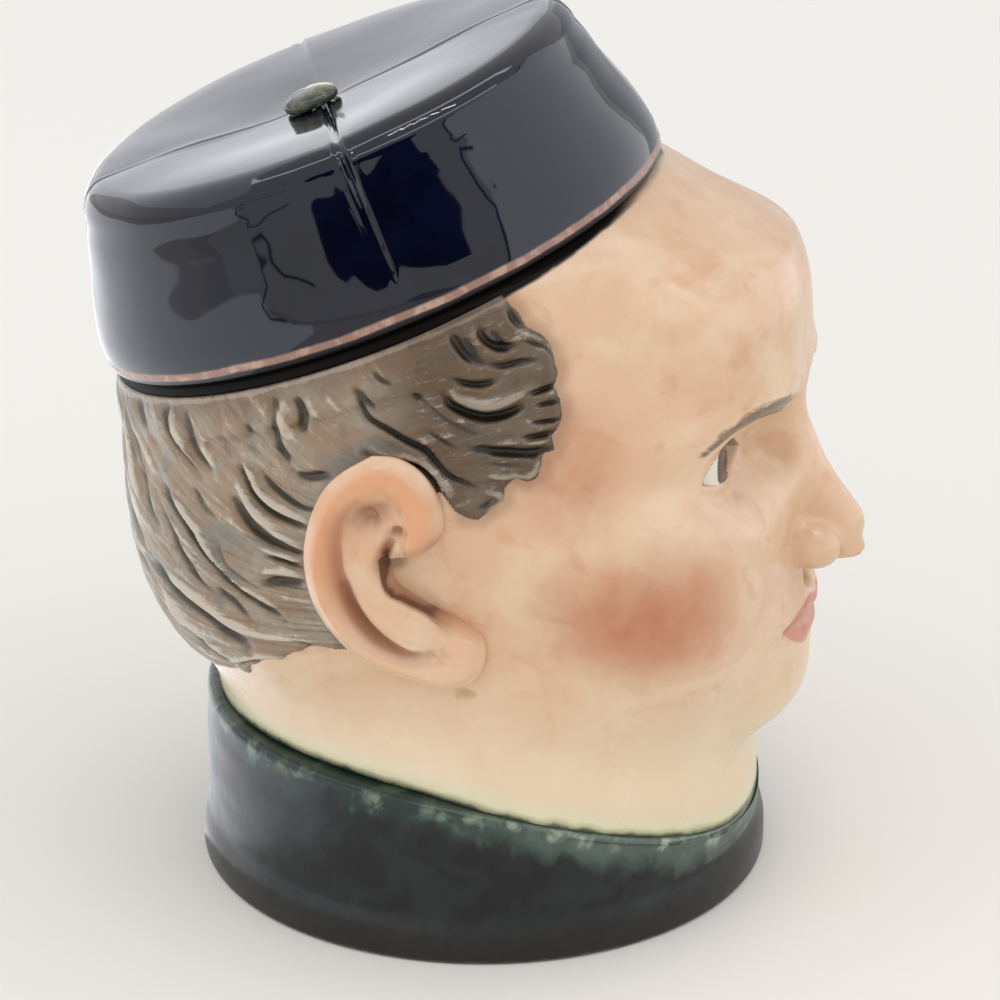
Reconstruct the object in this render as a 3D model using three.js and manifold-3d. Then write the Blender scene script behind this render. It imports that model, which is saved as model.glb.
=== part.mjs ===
import * as THREE from 'three';
import { mergeVertices } from 'three/addons/utils/BufferGeometryUtils.js';
import Module from 'manifold-3d';

const wasm = await Module();
wasm.setup();

// A covered jar in glazed earthenware, in the form of a man's head with a round cap for a lid.
// Millimetres, +Z up. The face looks along -Y and the figure's right side is -X.
// The origin is the centre of the foot, on the surface that the jar stands on.

// Overall sizes
const footRadius = 52;
const rimHeight = 114.6; // height of the middle of the tilted rim
const rimOffset = 18; // how far the rim's middle lies behind the foot's middle
const lidTilt = THREE.MathUtils.degToRad(22.2);
const clearance = 0.3;

// Collar base
const footBand = 6;
const footFlare = 1.1;
const footFade = 3; // height in which the foot band falls back to the collar's wall
const footEdge = 0.9;
const collarWall = 5;
const collarFloor = 5;
const collarFrontHeight = 13;
const collarBackHeight = 33.5;
const collarDip = 3.2; // how sharply the top edge falls towards the front
const collarRound = 1.4;

// Head
const headWall = 6;
const headWidth = 104;
const skullDepth = 118.5;
const skullFront = 53; // how far ahead of the foot's middle the skull begins
const skullHeight = 120;
const neckInset = 1.4; // how far the neck lies inside the collar's outer wall
const faceFront = 58; // the plane of the lips and the brow, ahead of the foot's middle
const chinHeight = 31;
const browHeight = 97;
const noseProjection = 13;
const noseBridgeWidth = 7.5;
const noseTipSize = 11;
const headColumns = 82;
const headRows = 54;
const frontCrowding = 0.48; // how much closer the points of the mesh lie on the face
const cavityColumns = 36;
const cavityRows = 24;

// Mouth of the jar
const rimRadius = 51.6;
const rimBand = 9;
const rimWidth = 9.6; // from the rim's outer edge in to the mouth

// Ears
const earThickness = 9;
const earStand = 10; // how far an ear reaches beyond the side of the head
const earFlare = THREE.MathUtils.degToRad(10);
const earBevel = 2.4;
const conchaDepth = 5;
const conchaWidth = 13;
const conchaHeight = 26;

// Cap
const capOverhang = 1.6; // how far the cap's lower edge reaches past the rim
const capHeight = 32.3; // up to the highest ring of the crown
const capTaper = 6.4;
const crownDish = 2.1; // how far the crown sinks from that ring to the button
const shoulderRound = 5.6;
const capWall = 4;
const capBand = 6; // height of the upright band above the cap's lower edge
const capFade = 4;
const capEdge = 0.8;

// Ring under the cap
const flangeDrop = 9;
const flangeWall = 4;
const flangeWeb = 3.5;
const flangePlay = 0.8;
const flangeEdge = 1;

// Button
const buttonRadius = 5;
const buttonHeight = 3;
const buttonRound = 1.2;
const buttonMargin = 2.5; // flat round the button's foot
const buttonAside = -1.5; // the button was set by hand, a little off the middle
const buttonBack = 1.4;

const roundSegments = 60;

const skin = new THREE.MeshStandardMaterial({ color: 0xe6c8aa, roughness: 0.25, metalness: 0 });
const earSkin = new THREE.MeshStandardMaterial({ color: 0xe0af8c, roughness: 0.25, metalness: 0 });
const collarGlaze = new THREE.MeshStandardMaterial({ color: 0x32413c, roughness: 0.2, metalness: 0 });
const capGlaze = new THREE.MeshStandardMaterial({ color: 0x0a0e26, roughness: 0.12, metalness: 0 });
const bareWhite = new THREE.MeshStandardMaterial({ color: 0xe9e6dc, roughness: 0.4, metalness: 0 });
const buttonGlaze = new THREE.MeshStandardMaterial({ color: 0x777a6e, roughness: 0.25, metalness: 0 });

// Closed meshes in and out of solids

function toSolid(geometry) {
  const bare = geometry.clone();
  bare.deleteAttribute('normal');
  bare.deleteAttribute('uv');
  const merged = mergeVertices(bare, 1e-4);
  const corners = [];
  for (let i = 0; i < merged.index.count; i += 3) {
    const a = merged.index.getX(i);
    const b = merged.index.getX(i + 1);
    const c = merged.index.getX(i + 2);
    if (a !== b && b !== c && c !== a) corners.push(a, b, c);
  }
  return new wasm.Manifold(new wasm.Mesh({
    numProp: 3,
    vertProperties: new Float32Array(merged.attributes.position.array),
    triVerts: new Uint32Array(corners),
  }));
}

function toGeometry(solid) {
  const mesh = solid.getMesh();
  const geometry = new THREE.BufferGeometry();
  geometry.setAttribute('position', new THREE.BufferAttribute(mesh.vertProperties, 3));
  geometry.setIndex(new THREE.BufferAttribute(mesh.triVerts, 1));
  geometry.computeVertexNormals();
  return geometry;
}

// A turned shape about +Z from [radius, height] points that run counter-clockwise
function turned(outline, segments = roundSegments) {
  const points = outline.map(([radius, height]) => new THREE.Vector2(radius, height));
  return new THREE.LatheGeometry(points, segments).rotateX(Math.PI / 2);
}

// The tilted frame that the rim and the lid share: its origin is the middle of the rim
const lidFrame = new THREE.Matrix4().makeRotationX(-lidTilt).setPosition(0, rimOffset, rimHeight);
const lidFrameBack = lidFrame.clone().invert();

// Sizes that pieces share
const mouthRadius = rimRadius - rimWidth;
const capRadius = rimRadius + capOverhang;
const crownRadius = capRadius - capTaper;
const crownLevel = capHeight - crownDish;

// Collar base: a cup whose top edge is high at the nape and low at the throat

const collarRadius = footRadius - footFlare;
const socketRadius = collarRadius - collarWall;

function collarTop(x, y) {
  const forward = (1 - y / Math.hypot(x, y)) / 2;
  return collarBackHeight - (collarBackHeight - collarFrontHeight) * forward ** collarDip;
}

// Points of a turned ring at or above this level are meant as heights over the collar's edge
const edgeLevel = 1000;

function followCollar(geometry) {
  const position = geometry.attributes.position;
  for (let i = 0; i < position.count; i += 1) {
    const overEdge = position.getZ(i) - edgeLevel;
    if (overEdge > -edgeLevel / 2) {
      position.setZ(i, collarTop(position.getX(i), position.getY(i)) + overEdge);
    }
  }
  return geometry;
}

function collarBase() {
  return followCollar(turned([
    [0, 0],
    [footRadius - footEdge, 0],
    [footRadius, footEdge],
    [footRadius, footBand],
    [collarRadius, footBand + footFade],
    [collarRadius, edgeLevel - collarRound],
    [collarRadius - collarRound * 0.3, edgeLevel - collarRound * 0.3],
    [collarRadius - collarRound, edgeLevel],
    [socketRadius, edgeLevel],
    [socketRadius, collarFloor],
    [0, collarFloor],
  ]));
}

// The space that the collar takes out of the neck, with its clearance
function collarRoom() {
  const inner = socketRadius - clearance;
  const outer = footRadius * 2;
  const top = edgeLevel + clearance;
  return followCollar(turned([
    [inner, -footBand],
    [outer, -footBand],
    [outer, top],
    [inner, top],
    [inner, -footBand],
  ]));
}

// Head: rounded masses melted into each other. Each has its middle (aside from the mid plane,
// ahead of the foot's middle, up), its full width, depth and height, and how softly it melts in.

const blend = (a, b, width) => {
  const near = Math.max(width - Math.abs(a - b), 0) / width;
  return Math.min(a, b) - near * near * width * 0.25;
};

const offset = new THREE.Vector3();
function massDistance(p, { aside = 0, ahead, up, width, depth, height }) {
  offset.set(Math.abs(p.x) - aside, p.y + ahead, p.z - up);
  const inner = Math.hypot(offset.x / width, offset.y / depth, offset.z / height) * 2;
  const slope = Math.hypot(offset.x / width ** 2, offset.y / depth ** 2, offset.z / height ** 2) * 4;
  return slope > 0 ? (inner * (inner - 1)) / slope : -Math.min(width, depth, height) / 2;
}

const inLid = new THREE.Vector3();
function rimDistance(p) {
  inLid.copy(p).applyMatrix4(lidFrameBack);
  const side = Math.hypot(inLid.x, inLid.y) - rimRadius;
  const beyond = Math.abs(inLid.z) - rimBand;
  return Math.min(Math.max(side, beyond), 0) + Math.hypot(Math.max(side, 0), Math.max(beyond, 0));
}

const bridge = new THREE.Line3();
const nearest = new THREE.Vector3();
function bridgeDistance(p) {
  const share = bridge.closestPointToPointParameter(p, true);
  bridge.at(share, nearest);
  return nearest.distanceTo(p) - noseBridgeWidth / 2 - share * (noseTipSize - noseBridgeWidth) / 2;
}

const skull = {
  ahead: skullFront - skullDepth / 2, up: 92, width: headWidth, depth: skullDepth, height: skullHeight, melt: 0,
};
const nape = { ahead: -23.5, up: 63.2, width: headWidth - 8, depth: 74, height: 62, melt: 14 };
const neckWidth = (collarRadius - neckInset) * 2;
const neck = { ahead: 0, up: 12, width: neckWidth, depth: neckWidth, height: 150, melt: 10 };

// The face is divided in thirds from the hairline to the chin, as a drawing book has it,
// and the head is five eyes wide
const third = (browHeight - chinHeight) / 2;
const noseBase = browHeight - third;
const mouthHeight = noseBase - third / 3;
const eyeHeight = browHeight - third * 0.26;
const eyeWidth = headWidth / 5;
const lipWidth = eyeWidth * 1.2;

const jawParts = [
  { ahead: 19, up: chinHeight + 43, width: headWidth - 18, depth: 78, height: 86, melt: 16 },
  { ahead: 18, up: chinHeight + 19, width: headWidth - 26, depth: 72, height: 46, melt: 14 },
];

const faceParts = [
  // cheekbone, cheek, mouth and chin
  { aside: 33, ahead: 30, up: eyeHeight - 9, width: 26, depth: 28, height: 22, melt: 10 },
  { aside: 25, ahead: faceFront - 22, up: noseBase + 3, width: 36, depth: 34, height: 32, melt: 10 },
  { ahead: faceFront - 9, up: mouthHeight, width: 36, depth: 20, height: 25, melt: 7 },
  { ahead: faceFront - 11, up: chinHeight + 9, width: 27, depth: 23, height: 18, melt: 7 },
  // brow, in two masses that follow the forehead's curve
  { aside: 11, ahead: faceFront - 9.5, up: browHeight + 0.5, width: 24, depth: 17, height: 11, melt: 6 },
  { aside: 25, ahead: faceFront - 16, up: browHeight + 0.5, width: 24, depth: 17, height: 10, melt: 6 },
];

const socket = {
  aside: eyeWidth, ahead: faceFront - 0.5, up: eyeHeight, width: eyeWidth * 1.25, depth: 19, height: 15,
};
const eyeball = {
  aside: eyeWidth, ahead: faceFront - 18.5, up: eyeHeight, width: eyeWidth * 0.95, depth: 19, height: 15,
};

const lip = lipWidth * 0.8;
const lipParts = [
  { aside: 3.5, ahead: faceFront - 0.6, up: mouthHeight + 2.4, width: lip, depth: 7, height: 5, melt: 1.5 },
  { ahead: faceFront - 0.8, up: mouthHeight - 2.8, width: lip, depth: 8, height: 6, melt: 1 },
];

const noseRoot = new THREE.Vector3(0, -(faceFront - 7), eyeHeight + 3);
const tipRadius = noseTipSize / 2;
const noseTip = new THREE.Vector3(0, tipRadius - noseProjection - faceFront, noseBase + tipRadius);
const nostril = {
  aside: eyeWidth * 0.33, ahead: faceFront + 2, up: noseBase + 4, width: 8.5, depth: 13, height: 9, melt: 2.5,
};
bridge.set(noseRoot, noseTip);

const melted = (p, start, parts) => parts.reduce(
  (distance, part) => blend(distance, massDistance(p, part), part.melt), start,
);

// Hair, skull and neck alone, as the inside of the casting follows them
function crownField(p) {
  return blend(melted(p, massDistance(p, skull), [nape, neck]), rimDistance(p), 5);
}

function headField(p) {
  const skin = melted(p, crownField(p), [...jawParts, ...faceParts]);
  const carved = -blend(-skin, massDistance(p, socket), 5);
  const lidded = blend(carved, massDistance(p, eyeball), 1.5);
  const nosed = melted(p, blend(lidded, bridgeDistance(p), 6), [nostril]);
  return melted(p, nosed, lipParts);
}

// A sphere whose points slide along their own rays until they lie at a depth under the field
function modelled(field, depth, centre, columns, rows, crowding) {
  const geometry = new THREE.SphereGeometry(1, columns, rows).rotateX(Math.PI / 2);
  const position = geometry.attributes.position;
  const ray = new THREE.Vector3();
  const point = new THREE.Vector3();
  for (let i = 0; i < position.count; i += 1) {
    ray.fromBufferAttribute(position, i);
    const turn = Math.atan2(ray.x, -ray.y);
    const rise = Math.atan2(ray.z, Math.hypot(ray.x, ray.y));
    const around = turn - crowding * Math.sin(turn);
    const upward = rise - (crowding * Math.sin(rise * 2)) / 2;
    const level = Math.cos(upward);
    ray.set(level * Math.sin(around), -level * Math.cos(around), Math.sin(upward));
    let reach = 110;
    for (let step = 0; step < 60; step += 1) {
      const gap = field(point.copy(centre).addScaledVector(ray, reach)) + depth;
      reach -= gap * 0.8;
      if (Math.abs(gap) < 0.002) break;
    }
    position.setXYZ(i, point.x, point.y, point.z);
  }
  return toSolid(geometry);
}

const rayCentre = new THREE.Vector3(0, 0, (browHeight + chinHeight) / 2 + 10);

// A block that stands for everything above (1) or below (-1) a level
function halfSpace(side, level) {
  const size = 300;
  return new THREE.BoxGeometry(size, size, size).translate(0, 0, level + (side * size) / 2);
}

function headOutside(grown = 0) {
  return modelled(headField, -grown, rayCentre, headColumns, headRows, frontCrowding);
}

function headShell() {
  const neckBore = socketRadius - clearance - headWall;
  const throatHeight = collarBackHeight + headWall * 4;
  const inside = modelled(crownField, headWall, rayCentre, cavityColumns, cavityRows, 0);
  const aboveSeat = halfSpace(1, -rimBand - headWall / 2).applyMatrix4(lidFrame);
  const mouth = turned([[0, -40], [mouthRadius, -40], [mouthRadius, 10], [0, 10]]).applyMatrix4(lidFrame);
  const bore = turned([[0, 0], [neckBore, 0], [neckBore, throatHeight], [0, throatHeight]]);
  return headOutside()
    .subtract(toSolid(halfSpace(1, -clearance).applyMatrix4(lidFrame)))
    .subtract(toSolid(halfSpace(-1, collarFloor + clearance)))
    .subtract(toSolid(collarRoom()))
    .subtract(inside.subtract(toSolid(aboveSeat)))
    .subtract(toSolid(mouth))
    .subtract(toSolid(bore));
}

// Ears: an outline in the side plane, [towards the back, up], hollowed by the concha
const earReach = headWidth / 2 + earStand;
const earMiddle = new THREE.Vector2(2, 76.5);
const earOutline = [
  [2.6, 97.8], [9.7, 96], [15.1, 89.6], [18.1, 80.8], [18.8, 71.2], [16.2, 62.8], [10.2, 58.3],
  [0.7, 55.5], [-9.5, 56.4], [-14, 61.7], [-11, 69], [-8, 79], [-6.5, 88], [-2.3, 96.4],
];

function earAtRight(grownHead) {
  const corners = earOutline.map(([back, up]) => {
    const corner = new THREE.Vector2(back, up).sub(earMiddle);
    return corner.setLength(corner.length() - earBevel);
  });
  const outline = new THREE.Shape();
  outline.moveTo(corners[0].x, corners[0].y);
  outline.splineThru([...corners.slice(1), corners[0]]);
  const plate = new THREE.ExtrudeGeometry(outline, {
    depth: earThickness - earBevel * 2,
    bevelSize: earBevel,
    bevelThickness: earBevel,
    bevelSegments: 3,
    curveSegments: 3,
  });
  // The shape's x runs to the back, its y runs up, and the plate's thickness runs to the side
  plate.applyMatrix4(new THREE.Matrix4().makeBasis(
    new THREE.Vector3(0, 1, 0),
    new THREE.Vector3(0, 0, 1),
    new THREE.Vector3(1, 0, 0),
  )).rotateZ(earFlare);
  plate.computeBoundingBox();
  plate.translate(-earReach - plate.boundingBox.min.x, earMiddle.x, earMiddle.y);
  const concha = new THREE.SphereGeometry(1, 20, 12).scale(conchaDepth, conchaWidth / 2, conchaHeight / 2);
  concha.translate(-earReach + earBevel / 2, earMiddle.x - 3, earMiddle.y - 3);
  return toSolid(plate).subtract(toSolid(concha)).subtract(grownHead);
}

// Cap: a tapered drum with a rounded shoulder, open below

function shoulder(inset) {
  const steps = 4;
  const arc = [];
  for (let i = 0; i <= steps; i += 1) {
    const angle = ((Math.PI / 2) * i) / steps;
    arc.push([
      crownRadius - inset - shoulderRound * (1 - Math.cos(angle)),
      capHeight - inset - shoulderRound * (1 - Math.sin(angle)),
    ]);
  }
  return arc;
}

function capShell() {
  const inner = capRadius - capWall;
  const seat = buttonRadius + buttonMargin;
  return turned([
    [inner, 0],
    [capRadius - capEdge, 0],
    [capRadius, capEdge],
    [capRadius, capBand],
    [capRadius - capEdge, capBand + capFade],
    ...shoulder(0),
    [(crownRadius - shoulderRound + seat) / 2, capHeight - crownDish / 2],
    [seat, crownLevel],
    [0, crownLevel],
    [0, crownLevel - capWall],
    ...shoulder(capWall).reverse(),
    [inner, capBand],
    [inner, 0],
  ]);
}

function lidFlange() {
  const outer = mouthRadius - flangePlay;
  const inner = outer - flangeWall;
  const seat = capRadius - capWall - clearance;
  return turned([
    [inner, -flangeDrop],
    [outer - flangeEdge, -flangeDrop],
    [outer, flangeEdge - flangeDrop],
    [outer, 0],
    [seat, 0],
    [seat, flangeWeb],
    [inner, flangeWeb],
    [inner, -flangeDrop],
  ]);
}

function capButton() {
  return turned([
    [0, 0],
    [buttonRadius, 0],
    [buttonRadius - buttonRound / 4, buttonHeight - buttonRound],
    [buttonRadius - buttonRound, buttonHeight],
    [0, buttonHeight],
  ], 32);
}

// The assembly

function piece(name, geometry, material) {
  const mesh = new THREE.Mesh(geometry, material);
  mesh.name = name;
  return mesh;
}

const mirror = new THREE.Matrix4().makeScale(-1, 1, 1);
const rightEar = earAtRight(headOutside(clearance));
const leftEar = rightEar.transform(mirror.toArray());

const jar = new THREE.Group();
jar.add(piece('collar_base', toGeometry(toSolid(collarBase())), collarGlaze));
jar.add(piece('head_shell', toGeometry(headShell()), skin));
jar.add(piece('ear_right', toGeometry(rightEar), earSkin));
jar.add(piece('ear_left', toGeometry(leftEar), earSkin));

const lid = new THREE.Group();
lid.position.set(0, rimOffset, rimHeight);
lid.rotation.x = -lidTilt;
lid.add(piece('cap_shell', toGeometry(toSolid(capShell())), capGlaze));
lid.add(piece('lid_flange', toGeometry(toSolid(lidFlange())), bareWhite));

const button = piece('cap_button', toGeometry(toSolid(capButton())), buttonGlaze);
button.position.set(buttonAside, buttonBack, crownLevel + clearance);
lid.add(button);

const group = new THREE.Group();
group.add(jar);
group.add(lid);

export default group;
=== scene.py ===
import math

import bmesh
import bpy
import numpy as np
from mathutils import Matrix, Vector, noise
from mathutils.geometry import tessellate_polygon


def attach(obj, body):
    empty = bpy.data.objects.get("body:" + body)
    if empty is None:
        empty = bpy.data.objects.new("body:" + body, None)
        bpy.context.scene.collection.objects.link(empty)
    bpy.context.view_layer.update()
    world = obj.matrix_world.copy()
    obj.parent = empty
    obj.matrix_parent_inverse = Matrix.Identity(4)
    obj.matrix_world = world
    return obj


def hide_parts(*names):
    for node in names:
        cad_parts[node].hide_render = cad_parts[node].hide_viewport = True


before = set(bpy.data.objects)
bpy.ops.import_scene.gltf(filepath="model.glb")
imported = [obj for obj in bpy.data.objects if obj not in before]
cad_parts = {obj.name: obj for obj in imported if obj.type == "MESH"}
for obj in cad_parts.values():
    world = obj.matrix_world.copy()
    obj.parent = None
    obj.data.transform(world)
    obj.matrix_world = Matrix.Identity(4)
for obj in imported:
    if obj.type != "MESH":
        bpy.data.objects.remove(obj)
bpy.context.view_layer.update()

# Shapes are worked out in millimetres in the frame's own axes: the face looks along -Y, up is +Z
mm = 0.001

# The photograph's view in millimetres, and the plain stage with its lamps and cards in metres
stage = {
    "azimuth": -76.4, "elevation": 23.5, "distance": 1020.6, "aim": (0, 0, 80), "focalPixels": 5644.9,
    "aimPixel": (483.7, 437.7), "picture": 1000, "sensor": 36,
    "floorTint": (244, 242, 238), "backTint": (233, 231, 227), "world": 0.86, "reflected": 0.98,
    "floorSize": 6, "lampHeight": 0.08, "lidHeight": 0.13, "cardDistance": 0.9,
    "cardTint": (0.965, 0.99, 1.04, 1),
}


def towards(azimuth, elevation):  # from the jar to a place, azimuth 0 being in front of the face
    a, e = math.radians(azimuth), math.radians(elevation)
    return Vector((math.sin(a) * math.cos(e), -math.cos(a) * math.cos(e), math.sin(e)))


# The tilted seat that the rim and the lid share
tilt = math.radians(22.2)
seatMiddle = np.array([0, 18, 114.6])
seatUp = np.array([0, math.sin(tilt), math.cos(tilt)])
seatBack = np.array([0, math.cos(tilt), -math.sin(tilt)])
seatSide = np.array([1.0, 0, 0])

# Rays from this place inside the head find its surfaces
cast = {"from": np.array([0, 0, 74.0]), "reach": 112.0, "steps": 30, "caution": 0.82}

# The collar that the neck stands in
collar = {
    "radius": 50.9, "footRadius": 52, "footBand": 6, "footFade": 3, "wall": 5, "floor": 5,
    "front": 13, "back": 33.5, "dip": 3.2, "gap": 0.3, "columns": 220,
}
neckRadius = collar["radius"] - 0.4  # of the neck where it meets the collar's edge


def collarTop(x, y):  # height of the collar's edge in the direction of a point
    forward = (1 - y / np.maximum(np.hypot(x, y), 1e-6)) / 2
    return collar["back"] - (collar["back"] - collar["front"]) * forward ** collar["dip"]


# Shader maths

class Paint:  # a socket among a material's nodes, with arithmetic
    def __init__(self, tree, socket):
        self.tree = tree
        self.socket = socket

    def node(self, kind, settings=None, inputs=None, output=0):
        made = self.tree.nodes.new(kind)
        for name, value in (settings or {}).items():
            setattr(made, name, value)
        for name, value in (inputs or {}).items():
            if isinstance(value, Paint):
                self.tree.links.new(value.socket, made.inputs[name])
            else:
                made.inputs[name].default_value = value
        return Paint(self.tree, made.outputs[output])

    def maths(self, operation, *values):
        return self.node("ShaderNodeMath", {"operation": operation}, dict(enumerate(values)))

    def vector(self, operation, inputs=None, output=0):
        sockets = {0: self, **(inputs or {})}
        return self.node("ShaderNodeVectorMath", {"operation": operation}, sockets, output)

    def joined(self, x, y, z):
        return self.node("ShaderNodeCombineXYZ", None, {0: x, 1: y, 2: z})

    def __add__(self, other):
        return self.maths("ADD", self, other)

    def __radd__(self, other):
        return self.maths("ADD", other, self)

    def __sub__(self, other):
        return self.maths("SUBTRACT", self, other)

    def __rsub__(self, other):
        return self.maths("SUBTRACT", other, self)

    def __mul__(self, other):
        return self.maths("MULTIPLY", self, other)

    def __rmul__(self, other):
        return self.maths("MULTIPLY", other, self)

    def __truediv__(self, other):
        return self.maths("DIVIDE", self, other)

    def __abs__(self):
        return self.maths("ABSOLUTE", self)

    def root(self):
        return self.maths("SQRT", self)

    def least(self, other):
        return self.maths("MINIMUM", self, other)

    def between(self, low, high):  # 0 below low, 1 above high, smooth between
        return self.node("ShaderNodeMapRange", {"interpolation_type": "SMOOTHSTEP"},
                         {"Value": self, "From Min": low, "From Max": high})

    def mix(self, first, second):  # this socket is the share of the second colour
        return self.node("ShaderNodeMix", {"data_type": "RGBA"}, {0: self, 6: first, 7: second}, 2)

    def attribute(self, name):
        return self.node("ShaderNodeAttribute", {"attribute_name": name}, output=2)

    def place(self):  # object coordinates in millimetres
        return self.node("ShaderNodeTexCoord", output=3).vector("SCALE", {3: 1 / mm})

    def axes(self):
        return [self.node("ShaderNodeSeparateXYZ", None, {0: self}, k) for k in range(3)]

    def along(self, origin, direction):  # how far a place lies from origin along a direction
        return self.vector("SUBTRACT", {1: tuple(origin)}).vector("DOT_PRODUCT", {1: tuple(direction)}, 1)

    def away(self, origin, stretch):  # distance from origin, each axis divided by stretch
        return self.vector("SUBTRACT", {1: origin}).vector("DIVIDE", {1: stretch}).vector("LENGTH", output=1)

    def bothSides(self):  # so that the far side reads as the near one
        east, north, up = self.axes()
        return self.joined(abs(east), north, up)

    def shaped(self, scale, turn=(0, 0, 0)):
        return self.node("ShaderNodeMapping", {"vector_type": "POINT"}, {0: self, 2: turn, 3: scale})

    def cloud(self, size, detail=2.0, rough=0.5, warp=0.0):  # noise of about that many millimetres
        return self.node("ShaderNodeTexNoise", {"noise_dimensions": "3D"},
                         {"Vector": self, "Scale": 1 / size, "Detail": detail, "Roughness": rough,
                          "Distortion": warp})

    def wander(self, reach, size, detail=2.0, rough=0.5, warp=0.0):  # noise to both sides of 0
        return (self.cloud(size, detail, rough, warp) - 0.5) * reach


def tint(red, green, blue):  # a colour as it shows on a screen, 0 to 255
    parts = []
    for value in (red, green, blue):
        share = value / 255
        parts.append(share / 12.92 if share <= 0.04045 else ((share + 0.055) / 1.055) ** 2.4)
    return (*parts, 1.0)


def tints(**colours):
    return {name: tint(*colour) for name, colour in colours.items()}


def newMaterial(name):
    material = bpy.data.materials.new(name)
    material.use_nodes = True
    return material, Paint(material.node_tree, None)


def glaze(material, colour, rough, bump=None, bumpDepth=0.3, shine=0.5):
    shader = material.node_tree.nodes["Principled BSDF"]
    shader.inputs["Specular IOR Level"].default_value = shine
    for name, value in (("Base Color", colour), ("Roughness", rough)):
        if isinstance(value, Paint):
            material.node_tree.links.new(value.socket, shader.inputs[name])
        else:
            shader.inputs[name].default_value = value
    if bump:
        normal = bump.node("ShaderNodeBump", None,
                           {"Strength": 1.0, "Distance": bumpDepth * mm, "Height": bump})
        material.node_tree.links.new(normal.socket, shader.inputs["Normal"])
    return material


def dulled(material, mask, colour, rough):  # lays a flat finish over the glaze where the mask is 1, which both uses take for painted shade
    tree = material.node_tree
    glossy = Paint(tree, tree.nodes["Principled BSDF"].outputs[0])
    flat = glossy.node("ShaderNodeBsdfPrincipled", None,
                       {"Base Color": colour, "Roughness": rough, "Specular IOR Level": 0.05})
    mixed = glossy.node("ShaderNodeMixShader", None, {0: mask, 1: glossy, 2: flat})
    tree.links.new(mixed.socket, tree.nodes["Material Output"].inputs["Surface"])
    return material


# Finishes

skinTints = tints(
    base=(222, 183, 150), pale=(230, 200, 168), warm=(208, 152, 114), blush=(182, 98, 62),
    neck=(236, 219, 188), brow=(120, 102, 84), browDark=(86, 74, 60), lips=(192, 104, 84),
    lipsPale=(206, 128, 106), eye=(232, 226, 210), iris=(96, 72, 50), pupil=(18, 16, 16),
    lashes=(84, 62, 48), crease=(190, 122, 92), halo=(146, 108, 78), slot=(98, 54, 34),
    spot=(168, 146, 98), line=(122, 92, 70), tidePale=(222, 224, 190), tide=(164, 168, 130),
    tideDark=(52, 68, 58),
)
hairTints = tints(
    wash=(156, 144, 128), brown=(148, 124, 99), slate=(120, 118, 110), groove=(66, 58, 44),
    # the near-black at this line's end is a painted shadow under the lid
    crest=(216, 207, 190), temple=(80, 56, 30), templeGroove=(26, 20, 12), stain=(15, 12, 9),
    patch=(92, 74, 56), top=(98, 74, 52),
)
earTints = tints(pink=(226, 162, 120), low=(238, 210, 182), groove=(136, 80, 52), deep=(70, 36, 20))
collarTints = tints(
    black=(17, 20, 22), slate=(30, 36, 38), teal=(30, 50, 47), sage=(112, 130, 118), drip=(190, 204, 178),
    rimDark=(34, 50, 44), rim=(128, 146, 122), low=(40, 36, 32), bare=(110, 102, 88),
)
capTints = tints(
    night=(5, 7, 22), blue=(10, 12, 34), copper=(150, 114, 100), copperPale=(186, 152, 134), lip=(10, 9, 8),
)
buttonTints = tints(
    dark=(50, 56, 47), olive=(104, 106, 84), gilt=(214, 186, 120), giltPale=(240, 226, 180),
    groove=(44, 46, 42),
)
bareTints = tints(
    inside=(226, 220, 204), body=(224, 218, 202), pale=(236, 231, 219), speck=(140, 120, 96),
    # the near-black below is painted shade, laid flat under the lid and on its lowest band
    dull=(14, 12, 11),
)

# The face is the maker's own: thirds from the hairline to the chin, and a head five eyes wide
face = {
    "front": 58, "chin": 31, "brow": 97, "headWidth": 104, "eyeball": 10.5, "irisRadius": 4.1,
    "lipWidth": 25, "upperLid": 3.9, "lowerLid": 2.7,
}
face["third"] = (face["brow"] - face["chin"]) / 2
face["noseBase"] = face["brow"] - face["third"]
face["mouth"] = face["noseBase"] - face["third"] / 3
face["eye"] = face["brow"] - face["third"] * 0.26
face["eyeWidth"] = face["headWidth"] / 5


def skinColour(here):
    up = here.axes()[2]
    blotch = here.cloud(16, 3, 0.6, 0.4).between(0.38, 0.68)
    colour = blotch.mix(skinTints["base"], skinTints["pale"])
    warm = here.cloud(9, 3, 0.6, 0.8).between(0.52, 0.72) * 0.45
    colour = warm.mix(colour, skinTints["warm"])
    wide = here.bothSides()
    cheek = 1 - wide.away((37, -36, 68), (17, 20, 15)).between(0.3, 1.25)
    temple = 1 - wide.away((48, -27, 97), (14, 13, 15)).between(0.25, 1.1)
    blush = (cheek * 0.85 + temple * 0.45) * (0.6 + here.cloud(7, 2, 0.5) * 0.7)
    colour = blush.mix(colour, skinTints["blush"])
    low = 1 - (up + here.cloud(12) * 10).between(34, 66)
    return (low * 0.75).mix(colour, skinTints["neck"])


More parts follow.
